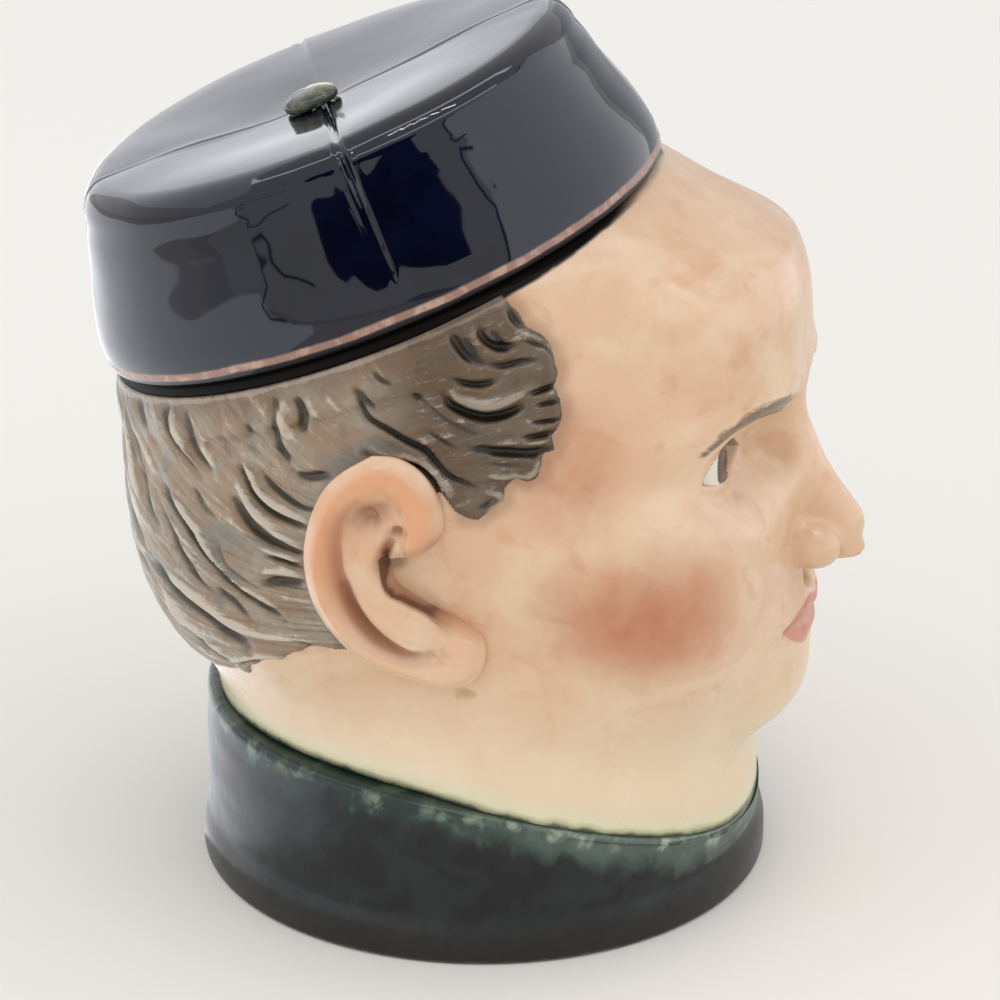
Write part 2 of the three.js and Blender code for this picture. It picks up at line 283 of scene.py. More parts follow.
def headMaterial():
    material, paint = newMaterial("headGlaze")
    here = paint.place()
    east, north, up = here.axes()
    colour = skinColour(here)

    # painted features, each from a distance in millimetres that the mesh carries
    lips = paint.attribute("lips").between(-0.3, 0.5)
    lipTone = here.cloud(4, 2).between(0.35, 0.65).mix(skinTints["lips"], skinTints["lipsPale"])
    colour = (lips * 0.8).mix(colour, lipTone)
    hairs = here.shaped((0.35, 0.35, 1.3), (0, 0.5, 0)).cloud(1.6, 3, 0.6, 0.4)
    brow = (paint.attribute("brow") + (hairs - 0.5) * 2.2).between(-0.15, 0.7)
    browTone = hairs.between(0.4, 0.6).mix(skinTints["browDark"], skinTints["brow"])
    colour = (brow * 0.85).mix(colour, browTone)
    opening = paint.attribute("lid")
    eye = 1 - opening.between(-0.2, 0.1)
    colour = eye.mix(colour, skinTints["eye"])
    aside = abs(east) - face["eyeWidth"]
    drop = up - face["eye"] - 0.3
    fromIris = (aside * aside + drop * drop).root()
    iris = (1 - fromIris.between(face["irisRadius"] - 0.3, face["irisRadius"] + 0.2)) * eye
    ring = fromIris.between(face["irisRadius"] - 1.3, face["irisRadius"]) * 0.6
    colour = iris.mix(colour, ring.mix(skinTints["iris"], skinTints["pupil"]))
    pupil = (1 - fromIris.between(1.6, 2.0)) * eye
    colour = pupil.mix(colour, skinTints["pupil"])
    lash = (1 - abs(opening - 0.1).between(0.25, 0.65)) * up.between(face["eye"] - 1.2, face["eye"] + 0.6)
    colour = (lash * 0.75).mix(colour, skinTints["lashes"])
    # painted shade in the lips' parting and the lid's fold
    colour = (paint.attribute("crease") * 0.5).mix(colour, skinTints["crease"])

    # stains of the hair's colour beside it, a painted shadow under the lid, and the collar's colour at the
    # neck's foot
    stain = (paint.attribute("halo") * (0.2 + here.cloud(3, 3) * 0.5)).least(0.5)
    colour = stain.mix(colour, skinTints["halo"])
    # painted shade on the cheek in the ear's slot
    slot = paint.attribute("slot").between(0.1, 0.8) * 0.9
    colour = slot.mix(colour, skinTints["slot"])
    # painted shadow: near-black and flat just under the lid's edge over the hair, thinner towards the face
    level = here.along(seatMiddle, seatUp)
    hairSide = north.between(-31, -27)
    thin = (0 - north).between(10, 30) * 1.3
    under = (level - thin + here.wander(0.8, 6)).between(-3.2, -2.4) * hairSide
    colour = (under * 0.99).mix(colour, hairTints["stain"])
    wide = here.bothSides()
    spot = 1 - (wide.away((48, -7.5, 51), (6, 2.4, 1.8)) + here.wander(1, 1.5)).between(0.5, 1.1)
    colour = (spot * 0.6).mix(colour, skinTints["spot"])
    # a thin painted shade line just under the lid's edge on the skin
    line = (level + here.wander(1.2, 6)).between(-1.6, -0.9) * (1 - hairSide)
    colour = (line * 0.6).mix(colour, skinTints["line"])
    low = paint.attribute("tide") + here.wander(3, 5, 3)
    for name, start, end, share in (("tidePale", -5.5, -1.2, 0.6), ("tide", -1.6, 0.2, 0.7),
                                    ("tideDark", -0.3, 0.5, 0.8)):
        colour = (low.between(start, end) * share).mix(colour, skinTints[name])
    colour = paint.attribute("inside").mix(colour, bareTints["inside"])
    rough = 0.2 + here.cloud(8, 2) * 0.12
    glaze(material, colour, rough, here.cloud(2.6, 3, 0.6), 0.05)
    # the painted shadow under the lid is laid flat as well, so that nothing shines there
    return dulled(material, under.least(1) * 0.95, bareTints["dull"], 0.5)


def hairMaterial():
    # a brown-grey wash that gathers dark in the grooves and breaks to pale on the crests
    material, paint = newMaterial("hairGlaze")
    here = paint.place()
    north, up = here.axes()[1:]
    relief = paint.attribute("relief")
    behind = north.between(-3, 12)
    below = here.along(seatMiddle, seatUp)
    backWay = here.joined(paint.attribute("across") / 1.5, below / 9, 3.0)
    sideWay = here.joined((up + north * 0.25) / 1.4, north / 7, 7.0)
    backStreak = backWay.cloud(1.0, 3, 0.6, 0.6)
    sideStreak = sideWay.cloud(1.0, 3, 0.6, 0.6)
    streak = sideStreak + (backStreak - sideStreak) * behind
    wash = here.cloud(11, 4, 0.65, 0.6).between(0.38, 0.62)
    tone = wash.mix(hairTints["wash"], hairTints["brown"])
    tone = (here.cloud(14, 3, 0.6, 0.7).between(0.5, 0.64) * 0.75).mix(tone, hairTints["slate"])
    temple = (1 - behind) * (0.55 + here.cloud(9, 3) * 0.5)
    tone = temple.mix(tone, hairTints["temple"])
    fine = (streak - 0.5) * 1.5
    speck = here.cloud(1.3, 3, 0.7, 0.3) - 0.5
    tone = ((fine + speck * 0.7).between(0.08, 0.6) * 0.75).mix(tone, hairTints["crest"])
    deep = behind.mix(hairTints["templeGroove"], hairTints["groove"])
    tone = ((0 - fine - speck * 0.7).between(0.05, 0.65) * 0.8).mix(tone, deep)
    stained = (0 - relief + here.wander(2.6, 7, 3, 0.65, 0.5)).between(0.05, 0.8) * 0.5
    tone = stained.mix(tone, hairTints["patch"])
    dark = (0 - relief + (fine + speck) * 0.35).between(0.12, 0.7) * 0.95
    tone = dark.mix(tone, deep)
    light = (relief * 1.2 + (fine + speck) * 0.7 + here.wander(0.9, 5)).between(0.3, 0.85) * 0.66
    tone = (light * (0.5 + behind * 0.5)).mix(tone, hairTints["crest"])
    top = (below + here.wander(3, 6, 3)).between(-9, -3)
    tone = (top * 0.55).mix(tone, hairTints["top"])
    rough = 0.3 + here.cloud(6, 2) * 0.16
    return glaze(material, tone, rough, streak + here.cloud(2.0, 3, 0.6) * 0.4, 0.28)


def earMaterial():
    material, paint = newMaterial("earGlaze")
    here = paint.place()
    colour = skinColour(here)
    up = here.axes()[2]
    high = up.between(58, 82)
    pink = here.cloud(10, 3, 0.6, 0.5).between(0.3, 0.65) * 0.3
    pink = (pink + paint.attribute("helix") * (0.25 + high * 0.4)).least(0.9)
    colour = pink.mix(colour, earTints["pink"])
    colour = ((1 - high) * 0.4).mix(colour, earTints["low"])
    # painted shade: darker in the ear's grooves, under its curl and along its slot beside the cheek
    groove = paint.attribute("groove")
    colour = (groove * 0.85).mix(colour, earTints["groove"])
    colour = (groove.between(0.72, 1) * 0.75).mix(colour, earTints["deep"])
    rough = 0.14 + here.cloud(8, 2) * 0.1
    return glaze(material, colour, rough, here.cloud(2.6, 3, 0.6), 0.05)


def collarMaterial():
    material, paint = newMaterial("collarGlaze")
    here = paint.place()
    north, up = here.axes()[1:]
    below = paint.attribute("below")  # millimetres below the collar's edge
    drift = here.cloud(9, 4, 0.6, 0.6)
    colour = drift.between(0.4, 0.65).mix(collarTints["black"], collarTints["slate"])
    brush = here.shaped((1.0, 1.0, 0.45)).cloud(5, 3, 0.55, 0.4) - 0.5
    front = (0 - north).between(-8, 34)
    teal = (1 - (below + brush * 14 - front * 2).between(2.5, 6)) * 0.9
    colour = teal.mix(colour, collarTints["teal"])
    patch = here.cloud(7, 3, 0.6, 0.4)
    wash = (1 - (below + brush * 12).between(1.5, 5)) * patch.between(0.5, 0.6)
    sage = (1 - (below + brush * 8).between(2.5, 7.5)) * (0.5 + patch * 0.5)
    colour = (wash * 0.5 + (sage * 0.6 - wash * 0.5) * front).mix(colour, collarTints["sage"])
    # pale flecks near the edge: glaze drips, and painted highlights standing in for glints
    drip = (1 - (below + brush * 5).between(0.6, 4)) * here.cloud(6.5, 3, 0.6, 0.4).between(0.5, 0.66)
    colour = (drip * (0.25 + front * 0.4)).mix(colour, collarTints["drip"])
    rim = 1 - (below + here.wander(1.6, 5, 3)).between(-0.3, 0.8)
    colour = (rim * 0.75).mix(colour, front.mix(collarTints["rimDark"], collarTints["rim"]))
    low = 1 - (up + here.wander(6, 8, 3)).between(3, 9)
    colour = (low * 0.6).mix(colour, collarTints["low"])
    bare = 1 - (up + here.wander(1.2, 3)).between(0.2, 0.9)
    colour = (bare * 0.5).mix(colour, collarTints["bare"])
    return glaze(material, colour, 0.24 + drift * 0.14, here.cloud(9, 3, 0.55), 0.2, 0.38)


def capMaterial():
    material, paint = newMaterial("capGlaze")
    here = paint.place()
    height = here.along(seatMiddle, seatUp)
    drift = here.cloud(14, 3, 0.6, 0.5)
    colour = drift.between(0.3, 0.7).mix(capTints["night"], capTints["blue"])
    worn = here.cloud(3.5, 4, 0.65, 0.5)
    drawn = height + here.wander(0.9, 9, 3, 0.6)
    copper = drawn.between(1.2, 1.6) * (1 - drawn.between(2.4, 3.0)) * worn.between(0.12, 0.3)
    colour = copper.mix(colour, worn.between(0.45, 0.65).mix(capTints["copper"], capTints["copperPale"]))
    # painted shade on the lid's lowest band, where its underside faces down: near-black and laid flat
    lip = 1 - height.between(0.7, 1.4)
    colour = (lip * 0.8).mix(colour, capTints["lip"])
    colour = paint.attribute("inside").mix(colour, bareTints["inside"])
    glaze(material, colour, 0.05 + copper * 0.3, here.cloud(20, 2, 0.5), 0.12)
    return dulled(material, lip.least(1) * 0.6, bareTints["dull"], 0.5)


def buttonMaterial():
    material, paint = newMaterial("buttonGlaze")
    here = paint.place()
    drift = here.cloud(2.5, 3, 0.6, 0.5)
    share = drift.between(0.35, 0.65)
    colour = share.mix(buttonTints["dark"], buttonTints["olive"])
    gilding = share.mix(buttonTints["gilt"], buttonTints["giltPale"])
    colour = paint.attribute("gilt").mix(colour, gilding)
    colour = paint.attribute("groove").mix(colour, buttonTints["groove"])
    return glaze(material, colour, 0.16, drift, 0.1)


def bareMaterial():
    material, paint = newMaterial("flangeGlaze")
    here = paint.place()
    speck = here.cloud(1.1, 2, 0.5).between(0.68, 0.76) * 0.35
    colour = here.cloud(12, 3).between(0.35, 0.65).mix(bareTints["body"], bareTints["pale"])
    colour = speck.mix(colour, bareTints["speck"])
    return glaze(material, colour, 0.3, here.cloud(3, 3), 0.1)


# Sculpting: fields of rounded masses in numpy, which a grid of vertices is moved onto

def blend(a, b, width):
    near = np.maximum(width - np.abs(a - b), 0) / width
    return np.minimum(a, b) - near * near * width * 0.25


def carve(a, b, width):  # takes b out of a
    return -blend(-a, b, width)


def mass(p, aside=0.0, ahead=0.0, up=0.0, width=1.0, depth=1.0, height=1.0, yaw=0.0, pitch=0.0):
    x = np.abs(p[:, 0]) - aside
    y = p[:, 1] + ahead
    z = p[:, 2] - up
    if yaw:  # turns the outer end back, in degrees
        c, s = math.cos(math.radians(yaw)), math.sin(math.radians(yaw))
        x, y = x * c + y * s, y * c - x * s
    if pitch:  # turns the top back
        c, s = math.cos(math.radians(pitch)), math.sin(math.radians(pitch))
        y, z = y * c - z * s, z * c + y * s
    inner = np.sqrt((x / width) ** 2 + (y / depth) ** 2 + (z / height) ** 2) * 2
    slope = np.sqrt((x / width ** 2) ** 2 + (y / depth ** 2) ** 2 + (z / height ** 2) ** 2) * 4
    return inner * (inner - 1) / np.maximum(slope, 1e-9)


def rod(p, start, end, first, last):  # a cone with round ends between two points
    start, end = np.array(start, float), np.array(end, float)
    line = end - start
    share = np.clip((p - start) @ line / (line @ line), 0, 1)
    return np.linalg.norm(p - start - share[:, None] * line, axis=1) - first - share * (last - first)


def smooth(values, low, high):
    share = np.clip((values - low) / (high - low), 0, 1)
    return share * share * (3 - 2 * share)


def curve(points, steps=5):  # a smooth line through points
    points = np.array(points, float)
    padded = np.vstack([2 * points[0] - points[1], points, 2 * points[-1] - points[-2]])
    line = []
    for k in range(1, len(padded) - 2):
        a, b, c, d = padded[k - 1:k + 3]
        for step in range(steps):
            t = step / steps
            line.append(0.5 * (2 * b + (c - a) * t + (2 * a - 5 * b + 4 * c - d) * t * t
                               + (3 * b - a - 3 * c + d) * t ** 3))
    line.append(points[-1])
    return np.array(line)


def nearest(q, line):  # distance of each q to the line, how far along it (0 to 1), and on which side
    best = np.full(len(q), 1e9)
    along = np.zeros(len(q))
    hand = np.zeros(len(q))
    lengths = np.linalg.norm(np.diff(line, axis=0), axis=1)
    total = lengths.sum()
    gone = 0.0
    for a, b, length in zip(line[:-1], line[1:], lengths):
        if length < 1e-9:
            continue
        step = (b - a) / length
        away = q - a
        share = np.clip(away @ step, 0, length)
        gap = away - share[:, None] * step
        distance = np.hypot(gap[:, 0], gap[:, 1])
        closer = distance < best
        best = np.where(closer, distance, best)
        along = np.where(closer, (gone + share) / total, along)
        hand = np.where(closer, np.sign(step[0] * away[:, 1] - step[1] * away[:, 0]), hand)
        gone += length
    return best, along, hand


def stroke(q, points, width, depth, bias=0.0, lip=0.0):
    # the mark of a modelling tool: deep in its middle, running out at both ends, with raised lips beside it
    line = curve(points)
    height = np.zeros(len(q))
    reach = width * (6 if lip else 3)
    low, high = line.min(axis=0) - reach, line.max(axis=0) + reach
    near = np.all((q > low) & (q < high), axis=1)
    if near.any():
        distance, along, hand = nearest(q[near], line)
        spread = width * (1 + bias * hand)
        taper = np.sqrt(np.clip(np.sin(np.pi * np.clip(along, 0.03, 0.97)), 0, 1))
        height[near] = depth * taper * ((1 + lip) * np.exp(-(distance / spread) ** 2)
                                        - lip * np.exp(-(distance / spread / 2) ** 2))
    return height


def inside(q, outline):  # signed distance to a closed outline, positive inside it
    closed = np.vstack([outline, outline[:1]])
    distance = nearest(q, closed)[0]
    hit = np.zeros(len(q), bool)
    for a, b in zip(closed[:-1], closed[1:]):
        if a[1] == b[1]:
            continue
        crosses = (a[1] > q[:, 1]) != (b[1] > q[:, 1])
        level = a[0] + (q[:, 1] - a[1]) / (b[1] - a[1]) * (b[0] - a[0])
        hit ^= crosses & (q[:, 0] < level)
    return np.where(hit, distance, -distance)


def cloud(p, size, seed=0.0):  # smooth noise from -1 to 1
    shift = Vector((seed * 17.3, seed * 5.1, seed * 9.7))
    return np.array([noise.noise(Vector(q) / size + shift) for q in p])


def riseOf(points):  # how steeply points lie above the casting place
    away = points - cast["from"]
    return np.arctan2(away[:, 2], np.hypot(away[:, 0], away[:, 1]))


def march(field, azimuth, rise):  # where rays at angles round from the front and up meet a field's surface
    rays = np.stack([np.cos(rise) * np.sin(azimuth), -np.cos(rise) * np.cos(azimuth), np.sin(rise)], axis=2)
    flat = rays.reshape(-1, 3)
    distance = np.full(len(flat), cast["reach"])
    for _ in range(cast["steps"]):
        distance -= field(cast["from"] + flat * distance[:, None]) * cast["caution"]
    return (cast["from"] + flat * distance[:, None]).reshape(rays.shape)


def slopeOf(field, p, step=0.15):
    corners = np.array([[1, -1, -1], [-1, -1, 1], [-1, 1, -1], [1, 1, 1]], float)
    total = np.zeros_like(p)
    for corner in corners:
        total += corner * field(p + corner * step)[:, None]
    return total / (4 * step)


def settle(field, grid, rounds):  # evens out a grid's spacing while it stays on the field's surface
    shape = grid.shape
    for _ in range(rounds):
        beside = (np.roll(grid, 1, axis=1) + np.roll(grid, -1, axis=1)) / 2
        middle = grid.copy()
        middle[1:-1] = (grid[:-2] + grid[2:]) / 2
        target = (beside + middle) / 2
        target[0], target[-1] = grid[0], grid[-1]
        flat = (grid + (target - grid) * 0.8).reshape(-1, 3)
        slope = slopeOf(field, flat)
        flat -= slope * (field(flat) / np.maximum((slope ** 2).sum(axis=1), 0.2))[:, None]
        moved = flat.reshape(shape)
        moved[0], moved[-1] = grid[0], grid[-1]
        grid = moved
    return grid


def normalsOf(grid):
    along = np.roll(grid, -1, axis=1) - np.roll(grid, 1, axis=1)
    down = np.gradient(grid, axis=0)
    normal = np.cross(down, along)
    return normal / np.maximum(np.linalg.norm(normal, axis=2, keepdims=True), 1e-9)


def overSeat(points):  # how high points lie over the seat's plane, and their offsets from its axis
    away = points - seatMiddle
    level = away @ seatUp
    return level, away - level[:, None] * seatUp


def seatCircle(radius, level, turn):
    return (seatMiddle + seatUp * level + np.outer(np.cos(turn), seatBack) * radius
            + np.outer(np.sin(turn), seatSide) * radius)


def seatRing(radius, level, azimuths):
    # points of a circle round the lid's axis that lie at given azimuths round the jar's own axis
    turn = np.linspace(-math.pi, math.pi, 1441)
    ring = seatCircle(radius, level, turn)
    seen = np.unwrap(np.arctan2(ring[:, 0], -ring[:, 1]))
    order = np.argsort(seen)
    seen, turn = seen[order], turn[order]
    wrapped = (azimuths - seen[0]) % (2 * math.pi) + seen[0]
    return seatCircle(radius, level, np.interp(wrapped, seen, turn))


def layGrid(bm, points, values):
    # lays faces over points[row, column], whose columns run all the way round
    rows, columns = points.shape[:2]
    held = bm.verts.layers.float
    layers = {name: held.get(name) or held.new(name) for name in values}
    made = bmesh.ops.create_grid(bm, x_segments=columns, y_segments=rows - 1, size=0.5)["verts"]
    for vert in made:
        column = round((vert.co.x + 0.5) * columns) % columns
        row = round((vert.co.y + 0.5) * (rows - 1))
        vert.co = points[row, column]
        for name, layer in layers.items():
            vert[layer] = values[name][row, column]
    bmesh.ops.remove_doubles(bm, verts=made, dist=1e-4)


def closedGrid(points, values):
    bm = bmesh.new()
    layGrid(bm, points, values)
    bmesh.ops.holes_fill(bm, edges=[edge for edge in bm.edges if edge.is_boundary], sides=0)
    bmesh.ops.triangulate(bm, faces=[facet for facet in bm.faces if len(facet.verts) > 4])
    bmesh.ops.recalc_face_normals(bm, faces=bm.faces)
    return bm


def placed(name, data):
    made = bpy.data.objects.new(name, data)
    bpy.context.scene.collection.objects.link(made)
    return made


def meshed(bm, name, material):
    mesh = bpy.data.meshes.new(name)
    bm.to_mesh(mesh)
    bm.free()
    mesh.materials.append(material)
    return placed(name, mesh)


def finished(bm, name, material, body, node):
    bmesh.ops.scale(bm, vec=(mm, mm, mm), verts=bm.verts)
    piece = meshed(bm, name, material)
    piece.data.shade_smooth()
    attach(piece, body)
    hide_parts(node)
    print(name, len(piece.data.vertices), "vertices")


# Head

head = {
    "columns": 400, "rows": 214, "crowding": 0.46, "wall": 6,
    "rimRadius": 51.6, "mouthRadius": 42, "rimBand": 9, "rimRound": 0.9,
    "innerColumns": 96, "innerRows": 34,
}

skullParts = [
    dict(ahead=-6.25, up=92, width=104, depth=118.5, height=120, melt=1),
    dict(ahead=-23.5, up=63.2, width=96, depth=74, height=62, melt=14),
    dict(ahead=0, up=12, width=99, depth=99, height=150, melt=10),
]
front, noseBase, mouthHeight, eyeHeight = face["front"], face["noseBase"], face["mouth"], face["eye"]
eyeAside, chinHeight, browHeight = face["eyeWidth"], face["chin"], face["brow"]
jawParts = [
    dict(ahead=19, up=chinHeight + 43, width=86, depth=78, height=86, melt=16),
    dict(ahead=18, up=chinHeight + 19, width=78, depth=72, height=46, melt=14),
    dict(aside=33, ahead=30, up=eyeHeight - 10, width=26, depth=28, height=20, melt=10),
    dict(aside=24, ahead=front - 22, up=noseBase + 1, width=36, depth=34, height=34, melt=12),
    dict(ahead=front - 10, up=mouthHeight, width=38, depth=21, height=28, melt=9),
    dict(ahead=front - 11.5, up=chinHeight + 8.5, width=28, depth=24, height=19, melt=9),
    dict(ahead=front - 14, up=browHeight + 14, width=60, depth=26, height=34, melt=14),
    dict(aside=12, ahead=front - 10.5, up=browHeight + 0.5, width=26, depth=17, height=10, yaw=10, melt=7),
    dict(aside=27, ahead=front - 18.5, up=browHeight + 0.2, width=24, depth=16, height=9, yaw=32, melt=7),
]
noseParts = [
    dict(aside=6.6, ahead=front + 3.6, up=noseBase + 4.2, width=7.6, depth=11, height=8.6, yaw=14, melt=2.4),
    dict(ahead=front + 6, up=noseBase + 1.6, width=4.6, depth=13, height=5, melt=2.2),
]
lipParts = [
    dict(aside=3.9, ahead=front - 1.3, up=mouthHeight + 2.5, width=15, depth=8.5, height=5.2, yaw=16,
         melt=1.6),
    dict(ahead=front - 0.6, up=mouthHeight + 2.1, width=6, depth=8, height=4.4, melt=1.6),
    dict(aside=3.3, ahead=front - 1.8, up=mouthHeight - 3.1, width=14, depth=9, height=6, yaw=15, melt=1.4),
]


def melted(p, field, parts):
    for part in parts:
        shape = {name: value for name, value in part.items() if name != "melt"}
        field = blend(field, mass(p, **shape), part["melt"])
    return field


def rimField(p):
    level, flat = overSeat(p)
    side = np.linalg.norm(flat, axis=1) - head["rimRadius"]
    beyond = np.abs(level) - head["rimBand"]
    return np.minimum(np.maximum(side, beyond), 0) + np.hypot(np.maximum(side, 0), np.maximum(beyond, 0))


def crownField(p):
    skull = melted(p, np.full(len(p), 200.0), skullParts)
    return blend(skull, rimField(p), 5)


def eyeOpening(p):  # the almond between the lids, seen from the front; negative inside
    x = np.abs(p[:, 0]) - eyeAside
    half = face["eyeWidth"] * 0.46
    z = p[:, 2] - eyeHeight - x * 0.05
    found = np.full(len(p), -99.0)
    for side, rise in ((1, face["upperLid"]), (-1, face["lowerLid"])):
        radius = (half ** 2 + rise ** 2) / (2 * rise)
        found = np.maximum(found, np.hypot(x, z - side * (rise - radius)) - radius)
    return np.maximum(found, p[:, 1] + 36)


def skinField(p):
    skin = melted(p, crownField(p), jawParts)
    level, flat = overSeat(p)  # near the rim nothing stands out past the rim's own circle
    out = np.linalg.norm(flat, axis=1)
    cone = (out - head["rimRadius"] - 0.1 - 0.9 * np.maximum(-level - 0.5, 0)) / 1.35
    return carve(skin, -cone, 1.5)


def headField(p):
    skin = skinField(p)
    socket = mass(p, eyeAside - 0.5, front - 1.5, eyeHeight + 0.2, 27, 20, 15, 12)
    skin = carve(skin, socket, 6)
    inner = mass(p, 8.5, front - 1, eyeHeight + 1.5, 10, 14, 12)
    skin = carve(skin, inner, 5)
    ball = face["eyeball"]
    centre = dict(aside=eyeAside, ahead=front - 9.2 - ball, up=eyeHeight)
    lid = mass(p, width=ball * 2 + 3.0, depth=ball * 2 + 2.2, height=ball * 2 - 3.6, **centre)
    skin = blend(skin, lid, 1.6)
    skin = carve(skin, eyeOpening(p), 0.5)
    eyeball = mass(p, width=ball * 2, depth=ball * 2, height=ball * 2, **centre)
    skin = blend(skin, eyeball, 0.3)
    bridge = rod(p, (0, -(front - 7.4), eyeHeight + 3.5), (0, -(front + 7), noseBase + 6.2), 3.4, 5.0)
    skin = blend(skin, bridge, 6)
    skin = melted(p, skin, noseParts)
    nostril = mass(p, 3.7, front + 5.2, noseBase + 0.2, 3.6, 7.2, 5.4, 14)
    skin = carve(skin, nostril, 1.2)
    groove = mass(p, 0, front + 0.4, noseBase - 5, 4, 3.4, 7)
    skin = carve(skin, groove, 2.6)
    skin = melted(p, skin, lipParts)
    corner = mass(p, face["lipWidth"] / 2 + 0.3, front - 5.6, mouthHeight, 3, 5, 2.6)
    return carve(skin, corner, 1.6)


# The hair, drawn as the photograph shows it, on an upright plane at the jar's near side: each point is
# [towards the back, up]. The far side is its mirror image.
hair = {
    "plane": (1, 0, 0, -53), "rows": 484, "columns": 178, "inner": 10,
    "from": 48, "lift": 1.3, "liftBehind": 0.55, "thickness": 2.6, "sunk": 2.2, "below": 2.7,
    "lock": 10.5, "strand": 3.7, "flowRadius": 60,
}
hairEdge = [
    (-10, 150), (-15.7, 130.7), (-19.1, 127.4), (-20.2, 125), (-23, 123.8), (-24.7, 121.8),
    (-25.4, 119.3), (-25.6, 116.4), (-25.2, 114.5), (-26.5, 112.1), (-26.8, 109.1), (-25.8, 106.4),
    (-25, 105.4), (-25.1, 102.7), (-23.4, 101.8), (-23.2, 99.9), (-22.3, 97.2), (-20.6, 96.4),
    (-18.5, 96.8), (-16.7, 94.7), (-16.6, 92.5), (-13.9, 90.3), (-11.8, 88.2), (-10, 88.2), (-7.9, 89),
    (-6.5, 90.7), (-5, 92.5), (0, 90), (8, 84), (10, 70), (10, 40), (60, 0), (120, 20), (120, 180),
]
hairFoot = [  # [degrees round from the front, lowest height]
    (96, 30), (103, 59), (107, 58.8), (112, 58.4), (117, 55.3), (121, 54.1), (126, 51.3), (128, 48.9),
    (133, 47.6), (150, 45), (180, 42),
]
